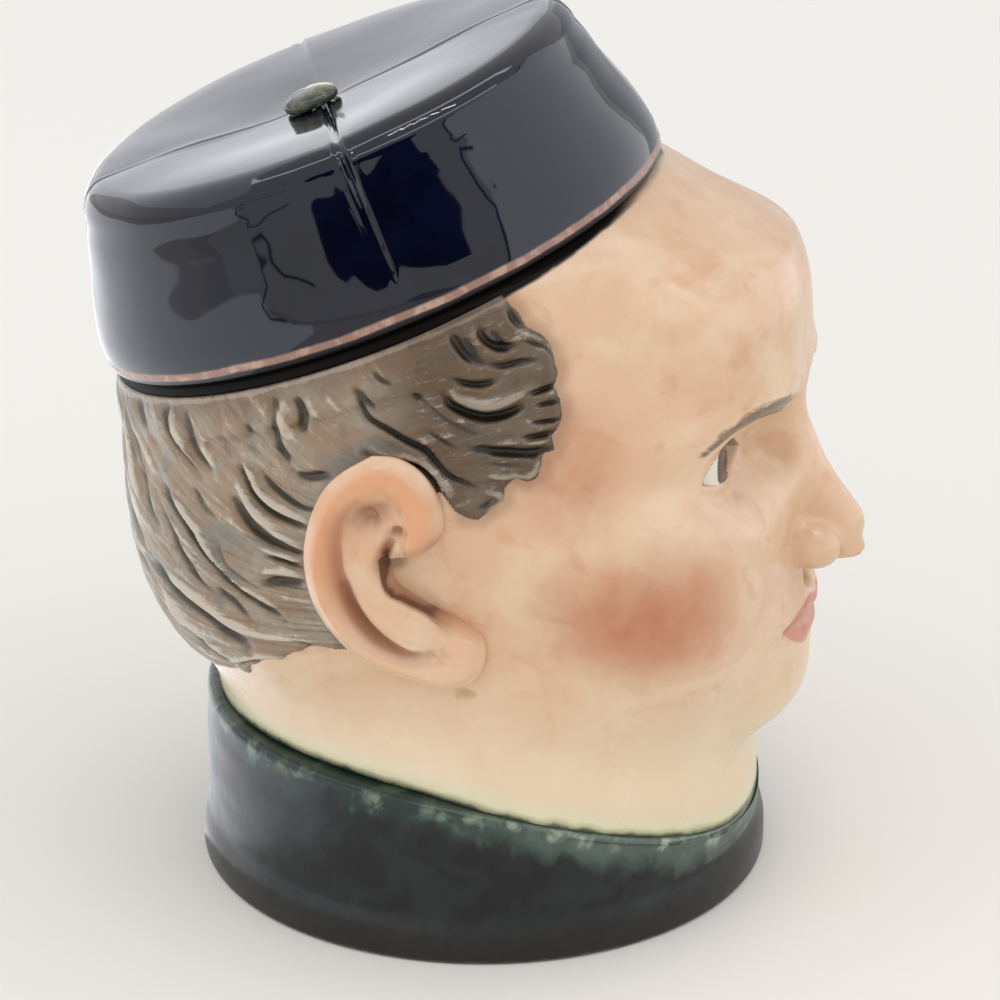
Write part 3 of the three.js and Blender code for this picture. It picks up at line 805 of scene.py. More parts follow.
# where the grid of the hair ends below: [degrees round from the front, height], then [degrees, distance out]
hairEnd = [(48, 90), (75, 79), (92, 60), (110, 49), (140, 39), (180, 34)]
hairReach = [(48, 52), (90, 52), (180, 60)]
hairGrooves = [  # points, width and depth of each tool mark
    ([(-5.9, 111.3), (-7.3, 109.4), (-10.1, 108.2), (-13.2, 107.7), (-16.4, 108.6), (-19.3, 110.4)],
     1.2, 2.2),
    ([(-7.3, 114.6), (-9.4, 113.7), (-12.2, 113.6), (-15, 114.6)], 0.9, 1.3),
    ([(-12.2, 118), (-15.7, 117.4), (-19.2, 118.5), (-22.6, 119)], 1.0, 0.9),
    ([(-12, 124.2), (-12.7, 122.1), (-15.3, 120.7), (-17.8, 121.4)], 1.1, 1.9),
    ([(-13.6, 123.6), (-15.3, 122.3), (-15.9, 121.1)], 0.9, 1.2),
    ([(-7, 122.6), (-8.6, 120.2), (-10.1, 118.5), (-12, 117.8)], 1.3, 1.9),
    ([(-9.2, 122.2), (-10.8, 120.1), (-12, 119)], 0.9, 1.3),
    ([(-16.9, 129.2), (-17.8, 126.2), (-19.5, 124.5)], 1.0, 1.4),
    ([(-18.8, 122.3), (-21.2, 122), (-23.3, 121.3), (-24.6, 119.6)], 0.5, 0.8),
    ([(-20.5, 112.5), (-23, 113.7), (-25.6, 115.1)], 0.7, 1.3),
    ([(-21.6, 110.6), (-24.2, 111.4), (-26.7, 111.9)], 0.6, 1.0),
    ([(-20.8, 107.4), (-24.1, 108.1), (-26.9, 108.8)], 0.6, 1.0),
    ([(-19.3, 104.5), (-22.3, 105.2), (-26, 106.6)], 0.8, 1.2),
    ([(-10.5, 101.9), (-14.6, 101.6), (-17.8, 101.7), (-21.3, 102), (-25, 103.4)], 1.4, 1.5),
    ([(-12.2, 99.4), (-15.7, 99.3), (-20.2, 99.4)], 0.8, 0.7),
    ([(9.6, 110.2), (8.7, 108.2), (7.1, 105.4), (3.6, 103.5), (0.5, 101.9), (-2.7, 100.6), (-4.4, 98.7),
      (-6.5, 96.5), (-9.4, 95.4), (-12.2, 94.6)], 0.8, 1.7),
    ([(7.6, 98.8), (5.5, 97.9), (1.9, 97.8), (-1.3, 97.1), (-3.5, 95.3), (-4.9, 92.8), (-5.5, 89.5)],
     1.0, 1.5),
    ([(6.7, 114.3), (5, 112.6), (2.9, 112.1)], 0.9, 0.9),
    ([(9.2, 110.7), (7.5, 108.7), (6.1, 107.3)], 0.9, 1.0),
    ([(-0.3, 110.9), (-2, 110)], 1.0, 0.9),
    ([(-1.4, 110.7), (-5.9, 107), (-10.1, 105), (-14.3, 104.2)], 0.7, 0.7),
    ([(-2.7, 104.5), (-5.9, 102.6), (-8.7, 101.4)], 0.7, 0.8),
    ([(-14.4, 92.6), (-13.2, 91.4), (-11.8, 90.9)], 0.7, 0.8),
    ([(42.7, 107), (43.2, 101.4), (41.8, 97.8), (39.4, 94.6), (37.2, 91.6)], 1.0, 1.3),
    ([(40.3, 104.3), (39.3, 100.7), (37.9, 96.3), (35.6, 93)], 0.9, 1.1),
    ([(44.4, 90.6), (42.2, 85.2), (39.7, 81.3), (37.8, 78.1), (35.3, 74.9), (32.7, 72.3), (29.5, 69.9),
      (26.6, 68.3), (22.6, 65.6)], 1.0, 1.6),
    ([(45.6, 88), (43.3, 82.1), (41.4, 77.7), (39.2, 73.3), (37.1, 70.5), (33, 67.4)], 0.9, 1.0),
    ([(46.4, 75.6), (42.5, 69.9), (39.3, 67.1), (35.7, 64.6), (32.9, 62.3), (29.4, 59.8)], 1.3, 2.1),
    ([(40, 62.6), (36.6, 59.6), (33.8, 57.4), (31, 55.4)], 0.9, 1.4),
    ([(32, 56.2), (27.8, 57.4), (23.2, 57.3)], 0.6, 1.0),
    ([(26.4, 93.2), (23, 89.6), (19.5, 87.4), (16.8, 87)], 0.8, 1.3),
    ([(30, 94), (28.2, 89.7), (25.6, 86.8), (22.7, 85.2), (18.4, 83.7)], 1.0, 1.9),
    ([(31.3, 87.6), (28.8, 83.4), (26, 81), (22.4, 79.4), (18.8, 78.3)], 1.2, 1.9),
    ([(26, 77.5), (22.5, 77), (19.2, 75.8)], 0.7, 1.1),
    ([(26.4, 72.6), (23.3, 73), (19, 73)], 1.4, 1.5),
    ([(23.4, 108.6), (24.1, 104), (23.2, 99.3), (21, 94.6)], 1.0, 1.1),
    ([(20, 108.8), (18.9, 104.9), (19.2, 101.4)], 1.2, 1.3),
    ([(20.6, 93.8), (17.9, 93.2), (14.6, 94)], 1.4, 1.2),
    ([(20.9, 62.2), (18.4, 61.3), (15.3, 60.3)], 0.6, 0.9),
    ([(34.8, 70.6), (31.3, 67.6), (28.9, 64.9)], 0.9, 1.1),
    ([(33, 74.4), (29.8, 72), (26, 70.4)], 0.7, 0.9),
    ([(34.9, 80.6), (34, 76.2), (32.2, 73.4)], 0.8, 0.6),
    ([(38.4, 89.4), (37.1, 85.8), (34.9, 83.8)], 0.8, 0.6),
    ([(48.1, 106.6), (47.8, 102.8), (47, 98.4)], 0.9, 0.8),
    ([(47.8, 92), (46.4, 84.6), (44.6, 80.6)], 0.8, 0.9),
    ([(33.6, 104.6), (33.2, 99.6), (31.4, 95.4)], 0.9, 0.5),
    ([(28.6, 106.6), (28.4, 101.4), (26.8, 97.2)], 0.9, 0.5),
]
hairCrests = [
    ([(-5.4, 112.8), (-8.7, 110.7), (-12.2, 110), (-16.4, 110.9), (-19.2, 112.7), (-21.3, 113.9)], 1.1, 0.8),
    ([(-18.6, 123.8), (-21.2, 123.2), (-23.9, 122.2)], 0.5, 0.5),
    ([(-14.2, 102.9), (-18.7, 103.8)], 0.4, 0.5),
    ([(-20, 103.6), (-24.6, 104.6)], 0.4, 0.6),
    ([(-11.8, 97.3), (-15.7, 97.1), (-18.5, 97.5), (-20.6, 97.6), (-22, 99.4), (-22.6, 101.4)], 0.6, 0.9),
    ([(6.6, 100.2), (5, 99.3), (0.1, 99), (-3.9, 97.5), (-6.6, 94.4), (-7.7, 91.3)], 0.9, 0.6),
    ([(-12.4, 94.3), (-15.3, 94), (-16, 92.4), (-14.3, 91), (-12.6, 90.4)], 0.7, 1.0),
    ([(50, 100.6), (49.4, 94.3), (48.4, 86.1), (46.4, 81.4), (44.4, 78.9)], 0.6, 0.9),
    ([(41.6, 106.2), (41.5, 100), (39.3, 95.8), (36.8, 92.6)], 0.6, 0.9),
    ([(36.8, 101.2), (36.1, 97.2), (34, 92.8)], 0.6, 0.6),
    ([(42.2, 87.2), (38.6, 82.2), (36.4, 78.2), (34.3, 74.8), (31.1, 72.1), (27.5, 70.1), (22.4, 66.9)],
     0.6, 1.0),
    ([(49, 79.4), (45.7, 74.9), (42.1, 71.1), (38.2, 68), (34.3, 65.5), (29.9, 63.4), (25.6, 62.5),
      (20.4, 62.6)], 0.7, 1.1),
    ([(44, 70.4), (41.9, 65.5), (39.1, 62.7), (35.8, 59.9), (33, 57.2), (29.4, 54.4)], 0.6, 0.9),
    ([(32.6, 57), (27.9, 58.5), (22.2, 58.4)], 0.45, 0.8),
    ([(29.6, 96.4), (27.3, 91.3), (25.2, 88.7), (22.3, 86.8), (18.2, 85)], 0.7, 1.0),
    ([(30, 90.6), (27.7, 86), (25.6, 83.8), (23.5, 82.1), (20, 80.8)], 0.7, 1.0),
    ([(26, 79.3), (22.5, 78.6), (19.4, 77.1)], 0.6, 0.7),
    ([(26.5, 74.6), (23.2, 75.2), (19.2, 74.8)], 0.6, 0.7),
    ([(21.9, 108.4), (22.5, 104.2), (21.2, 99.4)], 1.0, 0.6),
]


def viewer():  # where the photograph was taken from
    way = np.array(towards(stage["azimuth"], stage["elevation"]))
    return np.array(stage["aim"]) + way * stage["distance"]


def asSeen(p, plane):  # [towards the back, up] where sight lines through points meet a plane beside the jar
    near = np.column_stack([-np.abs(p[:, 0]), p[:, 1], p[:, 2]])
    eye = viewer()
    across = np.array(plane[:3])
    away = near - eye
    share = (plane[3] - eye @ across) / (away @ across)
    return (eye + away * share[:, None])[:, 1:]


def turnOf(p):  # degrees round from the front, both sides alike
    return np.degrees(np.arctan2(np.abs(p[:, 0]), -p[:, 1]))


def hairDepth(p):  # millimetres inside the hair's edge
    seen = asSeen(p, hair["plane"])
    turn = turnOf(p)
    edge = inside(seen, np.array(hairEdge)) + cloud(p, 3.2, 6) * 0.35
    edge = np.where(turn > 120, 20, np.where(turn < 40, -20, edge))
    foot = p[:, 2] - np.interp(turn, *zip(*hairFoot)) + cloud(p, 4, 8) * 1.0 + cloud(p, 1.8, 9) * 0.4
    return np.minimum(edge, foot)


def hairFlow(p):  # how far round the head the strand through a point starts, from the back, in millimetres
    below = np.clip(-overSeat(p)[0], 0, 90)
    radius = hair["flowRadius"]
    fromBack = math.pi * radius - np.arctan2(np.abs(p[:, 0]), -(p[:, 1] - 5)) * radius
    return fromBack - (0.3 * below + 0.0275 * below ** 2)


def hairRelief(p):
    below = np.clip(-overSeat(p)[0], 0, 90)
    across = hairFlow(p) + cloud(p, 24, 1) * 5 + cloud(p, 9, 2) * 1.2
    lock = np.abs(np.sin(np.pi * across / hair["lock"]))
    strand = np.abs(np.sin(np.pi * (across + cloud(p, 14, 3) * 2.5) / hair["strand"]))
    patch = smooth(cloud(p, 15, 4), -0.2, 0.4)
    turn = turnOf(p)
    unseen = smooth(turn, 146, 158)  # the very back, which only the procedural strands shape
    deep = smooth(cloud(p, 22, 5), -0.3, 0.35) * (0.15 + 0.85 * unseen)
    relief = (lock - 0.5) * (0.25 + 0.5 * deep) - 0.9 * deep * np.exp(-(lock / 0.3) ** 2)
    relief += patch * (0.22 * strand - 0.25 * np.exp(-(strand / 0.4) ** 2))
    relief *= smooth(p[:, 1], -2, 14)
    seen = asSeen(p, hair["plane"])
    drawn = 1 - smooth(turn, 152, 164)
    for points, width, depth in hairGrooves:
        relief -= stroke(seen, points, width * 0.8, depth, lip=0.45) * drawn
    for points, width, height in hairCrests:
        relief += stroke(seen, points, width, height) * drawn
    return relief * (0.15 + 0.85 * smooth(below, 2.4, 5.5))


def hairPiece():
    rows, columns = hair["rows"], hair["columns"]
    azimuth = np.radians(np.linspace(hair["from"], 360 - hair["from"], rows))
    top = seatRing(head["rimRadius"], -hair["below"], azimuth)
    turn = np.degrees(np.minimum(azimuth, 2 * math.pi - azimuth))
    low = np.interp(turn, *zip(*hairEnd))
    high = riseOf(top)
    foot = np.arctan2(low - cast["from"][2], np.interp(turn, *zip(*hairReach)))
    rise = high[:, None] + (foot - high)[:, None] * np.linspace(0, 1, columns)[None]
    skin = march(skinField, azimuth[:, None], rise).reshape(-1, 3)
    slope = slopeOf(skinField, skin)
    normal = slope / np.linalg.norm(slope, axis=1, keepdims=True)
    depth = hairDepth(skin)
    relief = hairRelief(skin)
    below = -overSeat(skin)[0]
    behind = smooth(skin[:, 1], -8, 12)
    lift = hair["lift"] + (hair["liftBehind"] - hair["lift"]) * behind
    lift *= 0.45 + 0.55 * smooth(below, 2, 6)
    body = lift * (0.45 + 0.55 * smooth(depth, 0, 1.6)) + relief * (0.35 + 0.65 * smooth(depth, 0.2, 1.6))
    cover = smooth(depth, -0.3, 0.3)
    outer = (skin + normal * (cover * body - (1 - cover) * hair["sunk"])[:, None]).reshape(rows, columns, 3)
    picks = np.linspace(columns - 1, 0, hair["inner"]).astype(int)
    inner = (skin - normal * hair["thickness"]).reshape(rows, columns, 3)[:, picks]
    whole = np.concatenate([outer, inner], axis=1)
    crest = 0.9 * np.exp(-((below - hair["below"] - 0.4) / 0.5) ** 2)
    values = {"relief": relief / 1.1 + crest, "across": hairFlow(skin)}
    for name, value in values.items():
        spread = value.reshape(rows, columns)
        values[name] = np.concatenate([spread, spread[:, picks]], axis=1)
    bm = closedGrid(whole, values)
    finished(bm, "hairGlazed", hairMaterial(), "jar", "head_shell")


def headShape():
    columns, rows = head["columns"], head["rows"]
    even = (np.arange(columns) + 0.5) / columns * 2 * math.pi - math.pi
    azimuth = even - head["crowding"] * np.sin(even)
    top = seatRing(head["rimRadius"], -head["rimRound"] - collar["gap"], azimuth)
    edge = np.column_stack([np.sin(azimuth) * neckRadius, -np.cos(azimuth) * neckRadius, np.zeros(columns)])
    edge[:, 2] = collarTop(edge[:, 0], edge[:, 1]) + collar["gap"]
    high, low = riseOf(top), riseOf(edge)
    share = np.linspace(0, 1, rows)[:, None]
    rise = high + (low - high) * share
    grid = march(headField, azimuth, rise)

    # the top row lies on the seat's plane, and the bottom row on the collar's edge
    grid[0] = seatMiddle + overSeat(grid[0])[1] - seatUp * (head["rimRound"] + collar["gap"])
    around = np.hypot(grid[-1][:, 0], grid[-1][:, 1])
    grid[-1][:, :2] *= (np.minimum(around, neckRadius) / around)[:, None]
    grid[-1][:, 2] = edge[:, 2]
    return settle(headField, grid, 12)


def headPiece():
    grid = headShape()
    rows, columns = grid.shape[:2]
    flat = grid.reshape(-1, 3)
    normal = normalsOf(grid).reshape(-1, 3)
    frontal = np.column_stack([np.abs(flat[:, 0]), flat[:, 2]])
    x, z = frontal.T
    forward = flat[:, 1] < -36

    # under the hair the head keeps clear of its grooves
    depth = hairDepth(flat)
    below = -overSeat(flat)[0]
    moved = -2.4 * smooth(depth, 1.0, 3.0) * smooth(below, 2, 5)
    halo = np.exp(-((depth + 0.6) / 1.5) ** 2) * smooth(-flat[:, 1], 5, 9) * smooth(z, 82, 88)

    # lips, lids and brows
    half = face["lipWidth"] / 2
    parting = [(0, mouthHeight - 0.5), (half * 0.3, mouthHeight - 0.1), (half * 0.7, mouthHeight + 0.1),
               (half + 0.4, mouthHeight - 0.2)]
    line = np.exp(-(nearest(frontal, curve(parting))[0] / 0.7) ** 2) * forward
    fold = eyeHeight + face["upperLid"] + 1.7 - ((x - eyeAside) / 11) ** 2 * 3.6 + (x - eyeAside) * 0.05
    fold = np.exp(-((z - fold) / 0.5) ** 2) * smooth(10.5 - np.abs(x - eyeAside), 0, 3) * forward
    browLine = [(7.5, browHeight - 1.6), (13, browHeight + 0.8), (20, browHeight + 2.4),
                (27, browHeight + 2), (33, browHeight - 1.2)]
    distance, along, _ = nearest(frontal, curve(browLine))
    brow = np.where(flat[:, 1] < -20, 2.3 - 1.3 * along - distance, -9)
    upper = mouthHeight + 4.4 - (x / half) ** 2 * 4.1 - np.exp(-(x / 2.2) ** 2) * 0.9 - z
    lower = z - mouthHeight + 6 - (x / half) ** 2 * 5.6
    lips = np.where(flat[:, 1] < -(front - 12), np.minimum(np.minimum(upper, lower), half + 0.2 - x), -9)
    # the cheek dips along the ear's slot and carries painted shade there
    slot = asSeen(flat, ear["plane"])
    within = inside(slot, np.array(earGap))
    mark = 0.5 * np.exp(-np.maximum(within - 1.2, 0) / 1.5) * smooth(within, -2, -0.5)
    mark *= smooth(slot[:, 0], -11, -6)
    mark *= smooth(6 - nearest(slot, curve(earSlot))[0], 0, 3) * (np.abs(flat[:, 0]) > 40)
    moved -= 0.9 * mark
    moved += 0.45 * smooth(brow, -0.3, 1) - 1.1 * line - 0.5 * fold
    top = collarTop(flat[:, 0], flat[:, 1])
    values = {
        "halo": halo, "lips": lips, "brow": brow, "lid": np.where(forward, eyeOpening(flat), 9),
        "crease": np.clip(line + fold * 0.5, 0, 1), "tide": top + 0.6 - flat[:, 2], "slot": mark,
    }
    moved = moved * smooth(below, 1.2, 2.5) * (flat[:, 2] - top > 0.35)
    flat = flat + normal * moved[:, None]
    around = np.hypot(flat[:, 0], flat[:, 1])
    flush = (1 - smooth(flat[:, 2] - top, 4, 16)) * smooth(-flat[:, 1], -5, 25)
    flat[:, :2] *= (1 + flush * np.maximum(neckRadius - around, 0) / around)[:, None]
    grid = flat.reshape(rows, columns, 3)

    def ring(points, level, drawn):  # a row parallel to the rim, drawn in
        out = overSeat(points)[1]
        length = np.linalg.norm(out, axis=1, keepdims=True)
        return seatMiddle + out * (1 - drawn / length) + seatUp * level

    soft = head["rimRound"]
    gap = collar["gap"]
    above = [ring(grid[0], -gap, soft), ring(grid[0], -gap - soft * 0.3, soft * 0.3)]
    socket = collar["radius"] - collar["wall"] - gap
    last = grid[-1]
    outward = last[:, :2] / np.hypot(last[:, 0], last[:, 1])[:, None]
    foot = collar["floor"] + gap
    under = [np.column_stack([outward * socket, last[:, 2]]),
             np.column_stack([outward * socket, np.full(columns, foot + 0.8)]),
             np.column_stack([outward * (socket - 0.8), np.full(columns, foot)])]
    whole = np.concatenate([np.array(above), grid, np.array(under)])
    padded = {name: np.pad(value.reshape(rows, columns), ((2, 3), (0, 0)), mode="edge")
              for name, value in values.items()}
    padded["inside"] = np.zeros(whole.shape[:2])
    bm = bmesh.new()
    layGrid(bm, whole, padded)
    headInside(bm, socket, foot)
    finished(bm, "headGlazed", headMaterial(), "jar", "head_shell")


def headInside(bm, socket, foot):
    columns, rows = head["innerColumns"], head["innerRows"]
    azimuth = np.arange(columns) / columns * 2 * math.pi
    gap, band, lip = collar["gap"], head["rimBand"], 1.5
    upper = [seatRing(head["mouthRadius"] + out, -down, azimuth)
             for out, down in ((lip, gap), (lip * 0.3, gap + lip * 0.3), (0, gap + lip), (0, band),
                               (1.2, band + 3))]
    bore = socket - head["wall"]
    throat = 40.0
    outward = np.column_stack([np.sin(azimuth), -np.cos(azimuth)])
    high = riseOf(upper[-1])
    low = math.atan2(throat - cast["from"][2], bore)
    share = np.linspace(0, 1, rows)[1:-1, None]
    rise = high + (low - high) * share

    def hollow(p):
        neck = np.hypot(p[:, 0], p[:, 1]) - bore - np.maximum(p[:, 2] - throat, 0)
        return np.maximum(crownField(p) + head["wall"], neck * 0.7)

    cavity = march(hollow, azimuth, rise)
    lower = [np.column_stack([outward * bore, np.full(columns, level)]) for level in (throat, foot + 0.8)]
    lower.append(np.column_stack([outward * (bore + 0.8), np.full(columns, foot)]))
    whole = np.concatenate([np.array(upper), cavity, np.array(lower)])
    before = set(bm.verts)
    layGrid(bm, whole, {"inside": np.ones(whole.shape[:2])})
    inner = [vert for vert in bm.verts if vert not in before]
    faces = {facet for vert in inner for facet in vert.link_faces}
    bmesh.ops.reverse_faces(bm, faces=list(faces))
    for atTop in (True, False):  # the rim's top, then the foot of the neck
        edges = [edge for edge in bm.edges if edge.is_boundary and (edge.verts[0].co.z > 60) == atTop]
        bmesh.ops.bridge_loops(bm, edges=edges)


# Ears, drawn as the photograph shows them, on a plane that leans out towards its back edge
ear = {
    "plane": (1, 0.37, 0.1, -46.25), "middle": (3.5, 77), "columns": 440,
    "rows": 104, "soft": 2.2, "sink": 8,
}
earOutline = [
    (5.9, 100.1), (10.6, 97.3), (13.6, 94.3), (15.5, 90.6), (16.8, 86.4), (17.5, 81.9), (17.4, 77.3),
    (16.7, 73), (15.3, 69), (13, 64.9), (10.5, 61.5), (7.9, 59.1), (4.5, 57.1), (-0.1, 54.8), (-4.2, 53.2),
    (-7.2, 53.2), (-9.5, 54.3), (-11.1, 56.7), (-11.7, 59.6), (-11.4, 63), (-10.6, 67), (-8.8, 72),
    (-6.6, 77.5), (-5.4, 82), (-5.5, 86.4), (-5.2, 89.3), (-4.2, 92.5), (-2.5, 95.6), (-0.3, 98),
    (2.5, 99.6),
]
earSlot = [
    (2.6, 84.6), (3.9, 82.1), (4.8, 79.3), (4.7, 76.1), (3.7, 73.2), (1.7, 71.7), (-0.9, 69.9), (-3.8, 68),
    (-6.3, 66.4), (-8.6, 64.5),
]
earGap = [  # here the cheek shows and the ear lies sunk in it, below the curl and ahead of the slot
    (4.9, 79.4), (4.7, 76.1), (3.7, 73.2), (1.7, 71.7), (-0.9, 69.9), (-3.8, 68), (-6.3, 66.4), (-8.6, 64.8),
    (-11, 63.2), (-16, 62), (-16, 84.2), (-5.4, 84.2), (-3.9, 82.2), (-2.1, 80.9), (0.2, 80.3), (2.6, 79.8),
]
earGrooves = [  # points, width, depth, and how much wider the groove is on its left hand
    ([(8.4, 91.6), (10.9, 88.4), (11.7, 84.4), (11.8, 79.1), (10.9, 75.1), (9.5, 71.1), (7.6, 67.4),
      (5.4, 64.4), (2.6, 62), (0.3, 60.8), (-2.8, 60.5)], 1.3, 1.9, 0.35),
    ([(10.9, 75.1), (9.5, 71.1), (7.6, 67.4), (5.4, 64.4), (2.6, 62), (0.3, 60.8), (-2.4, 60.6)],
     1.0, 1.5, 0.2),
    ([(9.8, 86.2), (8.2, 88.4), (5.8, 89.6), (2.6, 89.6)], 2.0, 1.5, 0),
    ([(7.4, 87.2), (5.2, 88.8)], 2.0, 1.2, 0),
    ([(3.0, 85.8), (0.9, 85.5)], 0.9, 1.6, 0),
    ([(2.8, 84.6), (3.9, 82.1), (4.9, 79.3), (5.0, 76.4)], 0.9, 2.2, 0),
]
earRidges = [
    ([(1.6, 88.4), (2.9, 86.9), (4.8, 84.4), (6.6, 81), (7.8, 77.5), (7.9, 73.6), (6.2, 69.4), (3.2, 66.2),
      (-0.6, 63.9), (-5, 62.6)], 1.7, 1.2),
    ([(-2.6, 89.5), (-2, 86), (-0.4, 83.4), (1.6, 82.2)], 2.4, 0.9),
    ([(10.6, 91.6), (12.8, 87.8), (14, 83), (14, 77.4), (12.9, 72), (10.4, 67), (6.9, 62.6), (2, 59.2),
      (-3.4, 57.2)], 2.0, 0.7),
]


def earPiece(side, name, node):
    outline = curve(earOutline + earOutline[:1], 8)[:-1]
    middle = np.array(ear["middle"])
    turn = np.arctan2(outline[:, 1] - middle[1], outline[:, 0] - middle[0])
    order = np.argsort(turn)
    columns, rows = ear["columns"], ear["rows"]
    wanted = np.arange(columns) / columns * 2 * math.pi - math.pi
    reach = np.hypot(*(outline - middle).T)
    around = np.interp(wanted, turn[order], reach[order], period=2 * math.pi)
    direction = np.column_stack([np.cos(wanted), np.sin(wanted)])

    # the front is a disc of rings, then the edge turns round and runs back into the head
    share = 1 - (1 - np.linspace(0.004, 1, rows)) ** 1.15
    spots = middle + direction[None] * (around * share[:, None])[:, :, None]
    flat = spots.reshape(-1, 2)
    edge = inside(flat, outline)
    height = 1.5 * smooth(edge, 0, 2.6) * (1 - smooth(edge, 4.6, 7.6)) - 0.3
    soft = ear["soft"]
    height -= soft * (1 - np.sqrt(np.clip(1 - (1 - np.clip(edge / soft, 0, 1)) ** 2, 0, 1))) * 0.55
    helix = smooth(edge, 0.6, 2.6) * (1 - smooth(edge, 5, 7))
    grooves = np.zeros(len(flat))
    for points, width, depth, bias in earGrooves:
        grooves += stroke(flat, points, width, depth, bias)
    for points, width, rise in earRidges:
        height += stroke(flat, points, width, rise)
    gap = inside(flat, np.array(earGap))
    sunk = smooth(gap, -0.5, 1.1)
    lobe = smooth(-flat[:, 0], 4, 11) * (1 - smooth(flat[:, 1], 62, 70))
    height = height - grooves - ear["sink"] * sunk + 0.4 * lobe
    plane = ear["plane"]

    def lay(spot, out):
        x = plane[3] - plane[1] * spot[:, 0] - plane[2] * spot[:, 1] - out
        return np.column_stack([x * side, spot])

    shell = lay(flat, height).reshape(rows, columns, 3)
    back = [lay(middle + direction * (around - inward)[:, None], np.full(columns, -behind))
            for inward, behind in ((0.1, 1.9), (0.5, 2.8), (1.5, 3.8), (3.4, 5.0), (6, 9.0))]
    whole = np.concatenate([shell, np.array(back)])
    extra = ((0, len(back)), (0, 0))
    # the painted shade that the ear's material lays in its grooves, under the curl and along the slot's edge
    beside = smooth(3.4 - nearest(flat, curve(earSlot))[0], 0, 1.4)
    under = nearest(flat, curve([(3.6, 80.4), (1.4, 80.9), (-1, 81.6), (-3.4, 83)]))[0]
    eased = inside(flat, curve(earGap + earGap[:1], 3)[:-1])
    spread = 0.4 + 0.6 * smooth(-flat[:, 0], 1, 6)
    shade = np.clip(np.minimum(grooves / 2.6, 0.74) + 0.4 * np.exp(-(under / 1.1) ** 2)
                    + (0.3 + 0.7 * beside) * smooth(flat[:, 0], -8.5, -2)
                    * (np.exp(-((eased + 0.1) / spread) ** 2) + 0.4 * smooth(eased, 0, 0.5)), 0, 1)
    values = {"helix": np.pad(helix.reshape(rows, columns), extra, mode="edge"),
              "groove": np.pad(shade.reshape(rows, columns), extra)}
    bm = closedGrid(whole, values)
    finished(bm, name, earGlaze, "jar", node)


# Collar

def turned(outline, steps, marks=()):  # spins a profile of [radius, height] about +Z and closes it
    bm = bmesh.new()
    layer = bm.verts.layers.float.new("inside")
    verts = [bm.verts.new((radius, 0, height)) for radius, height in outline]
    for vert, mark in zip(verts, marks):
        vert[layer] = mark
    edges = [bm.edges.new(pair) for pair in zip(verts, verts[1:])]
    bmesh.ops.spin(bm, geom=verts + edges, cent=(0, 0, 0), axis=(0, 0, 1), angle=2 * math.pi, steps=steps,
                   use_merge=True)
    bmesh.ops.remove_doubles(bm, verts=bm.verts, dist=1e-4)
    bmesh.ops.recalc_face_normals(bm, faces=bm.faces)
    return bm


def arc(middle, radius, start, end, steps):  # points of a profile's rounding, angles in degrees
    turns = [math.radians(start + (end - start) * k / steps) for k in range(steps + 1)]
    return [(middle[0] + radius * math.cos(turn), middle[1] + radius * math.sin(turn)) for turn in turns]


def collarPiece():
    outer, foot, wall, floor = collar["radius"], collar["footRadius"], collar["wall"], collar["floor"]
    band = collar["footBand"]
    nominal = 100.0  # the profile's wall reaches this height before it is drawn down to the edge
    lip = 1.5  # the height of the rounded edge
    start = band + collar["footFade"]
    walls = [(outer, start + (nominal - 1.4 - start) * k / 14) for k in range(15)]
    inner = [(outer - wall, nominal - 0.8 - (nominal - floor - 2) * k / 12) for k in range(13)]
    profile = [(0, 0.4), (foot - 7, 0.4), (foot - 6, 0), *arc((foot - 1, 1), 1, -90, 0, 4), (foot, band - 1),
               (foot - 0.3, band + 0.6), (foot - 0.8, band + 1.9), *walls,
               *arc((outer - 1.4, nominal - 1.4), 1.4, 15, 90, 4),
               *arc((outer - wall + 0.6, nominal - 0.6), 0.6, 90, 180, 3),
               *inner, (outer - wall - 1, floor), (0, floor)]
    bm = turned(profile, collar["columns"])
    depth = bm.verts.layers.float.new("below")
    for vert in bm.verts:
        x, y, z = vert.co
        radius = math.hypot(x, y)
        top = float(collarTop(x, y)) if radius > 1 else collar["back"]
        wave = 0.25 * noise.noise(vert.co / 14)
        vert[depth] = 60.0
        if z > start:
            height = start + (top - start) * ((z - start) / (nominal - start))
            if z > nominal - lip:  # the rounded edge keeps its shape
                height = top - (nominal - z)
            vert.co.z = height
            vert[depth] = top - height if radius > outer - 1.2 else 0.0
        if radius > outer - 0.5 and z > band:
            scale = 1 + wave / outer
            vert.co.x *= scale
            vert.co.y *= scale
    finished(bm, "collarGlazed", collarMaterial(), "jar", "collar_base")


# Lid: made upright about +Z, then leaned back onto the seat

cap = {
    "radius": 53.2, "wall": 4, "shoulder": 5.6, "crownRadius": 46.8, "height": 32.3, "dish": 2.1,
    "steps": 240, "crowding": 0.19, "seamTurn": -21, "seamDepth": 0.55, "ridgeAside": 1.1,
    "ridgeWidth": 0.55, "grooveWidth": 0.6,
}
button = {
    "radius": 5.0, "height": 3.0, "flatness": 0.35, "steps": 96, "aside": -1.5, "back": 1.4,
    "grooveWidth": 0.4, "grooveDepth": 0.14, "gilded": 1,
}
flange = {"gap": 0.8, "width": 4, "drop": 9, "web": 3.5, "clearance": 0.3, "steps": 160}
seam = math.radians(cap["seamTurn"])


def fromSeam(turn):  # the angle to the nearest of the four seams
    return (turn - seam + math.pi / 4) % (math.pi / 2) - math.pi / 4


def leanBack(bm):  # from upright on the origin to the tilted seat: x aside, y back, z up the lid's axis
    for vert in bm.verts:
        vert.co = Vector(seatMiddle + vert.co.x * seatSide + vert.co.y * seatBack + vert.co.z * seatUp)


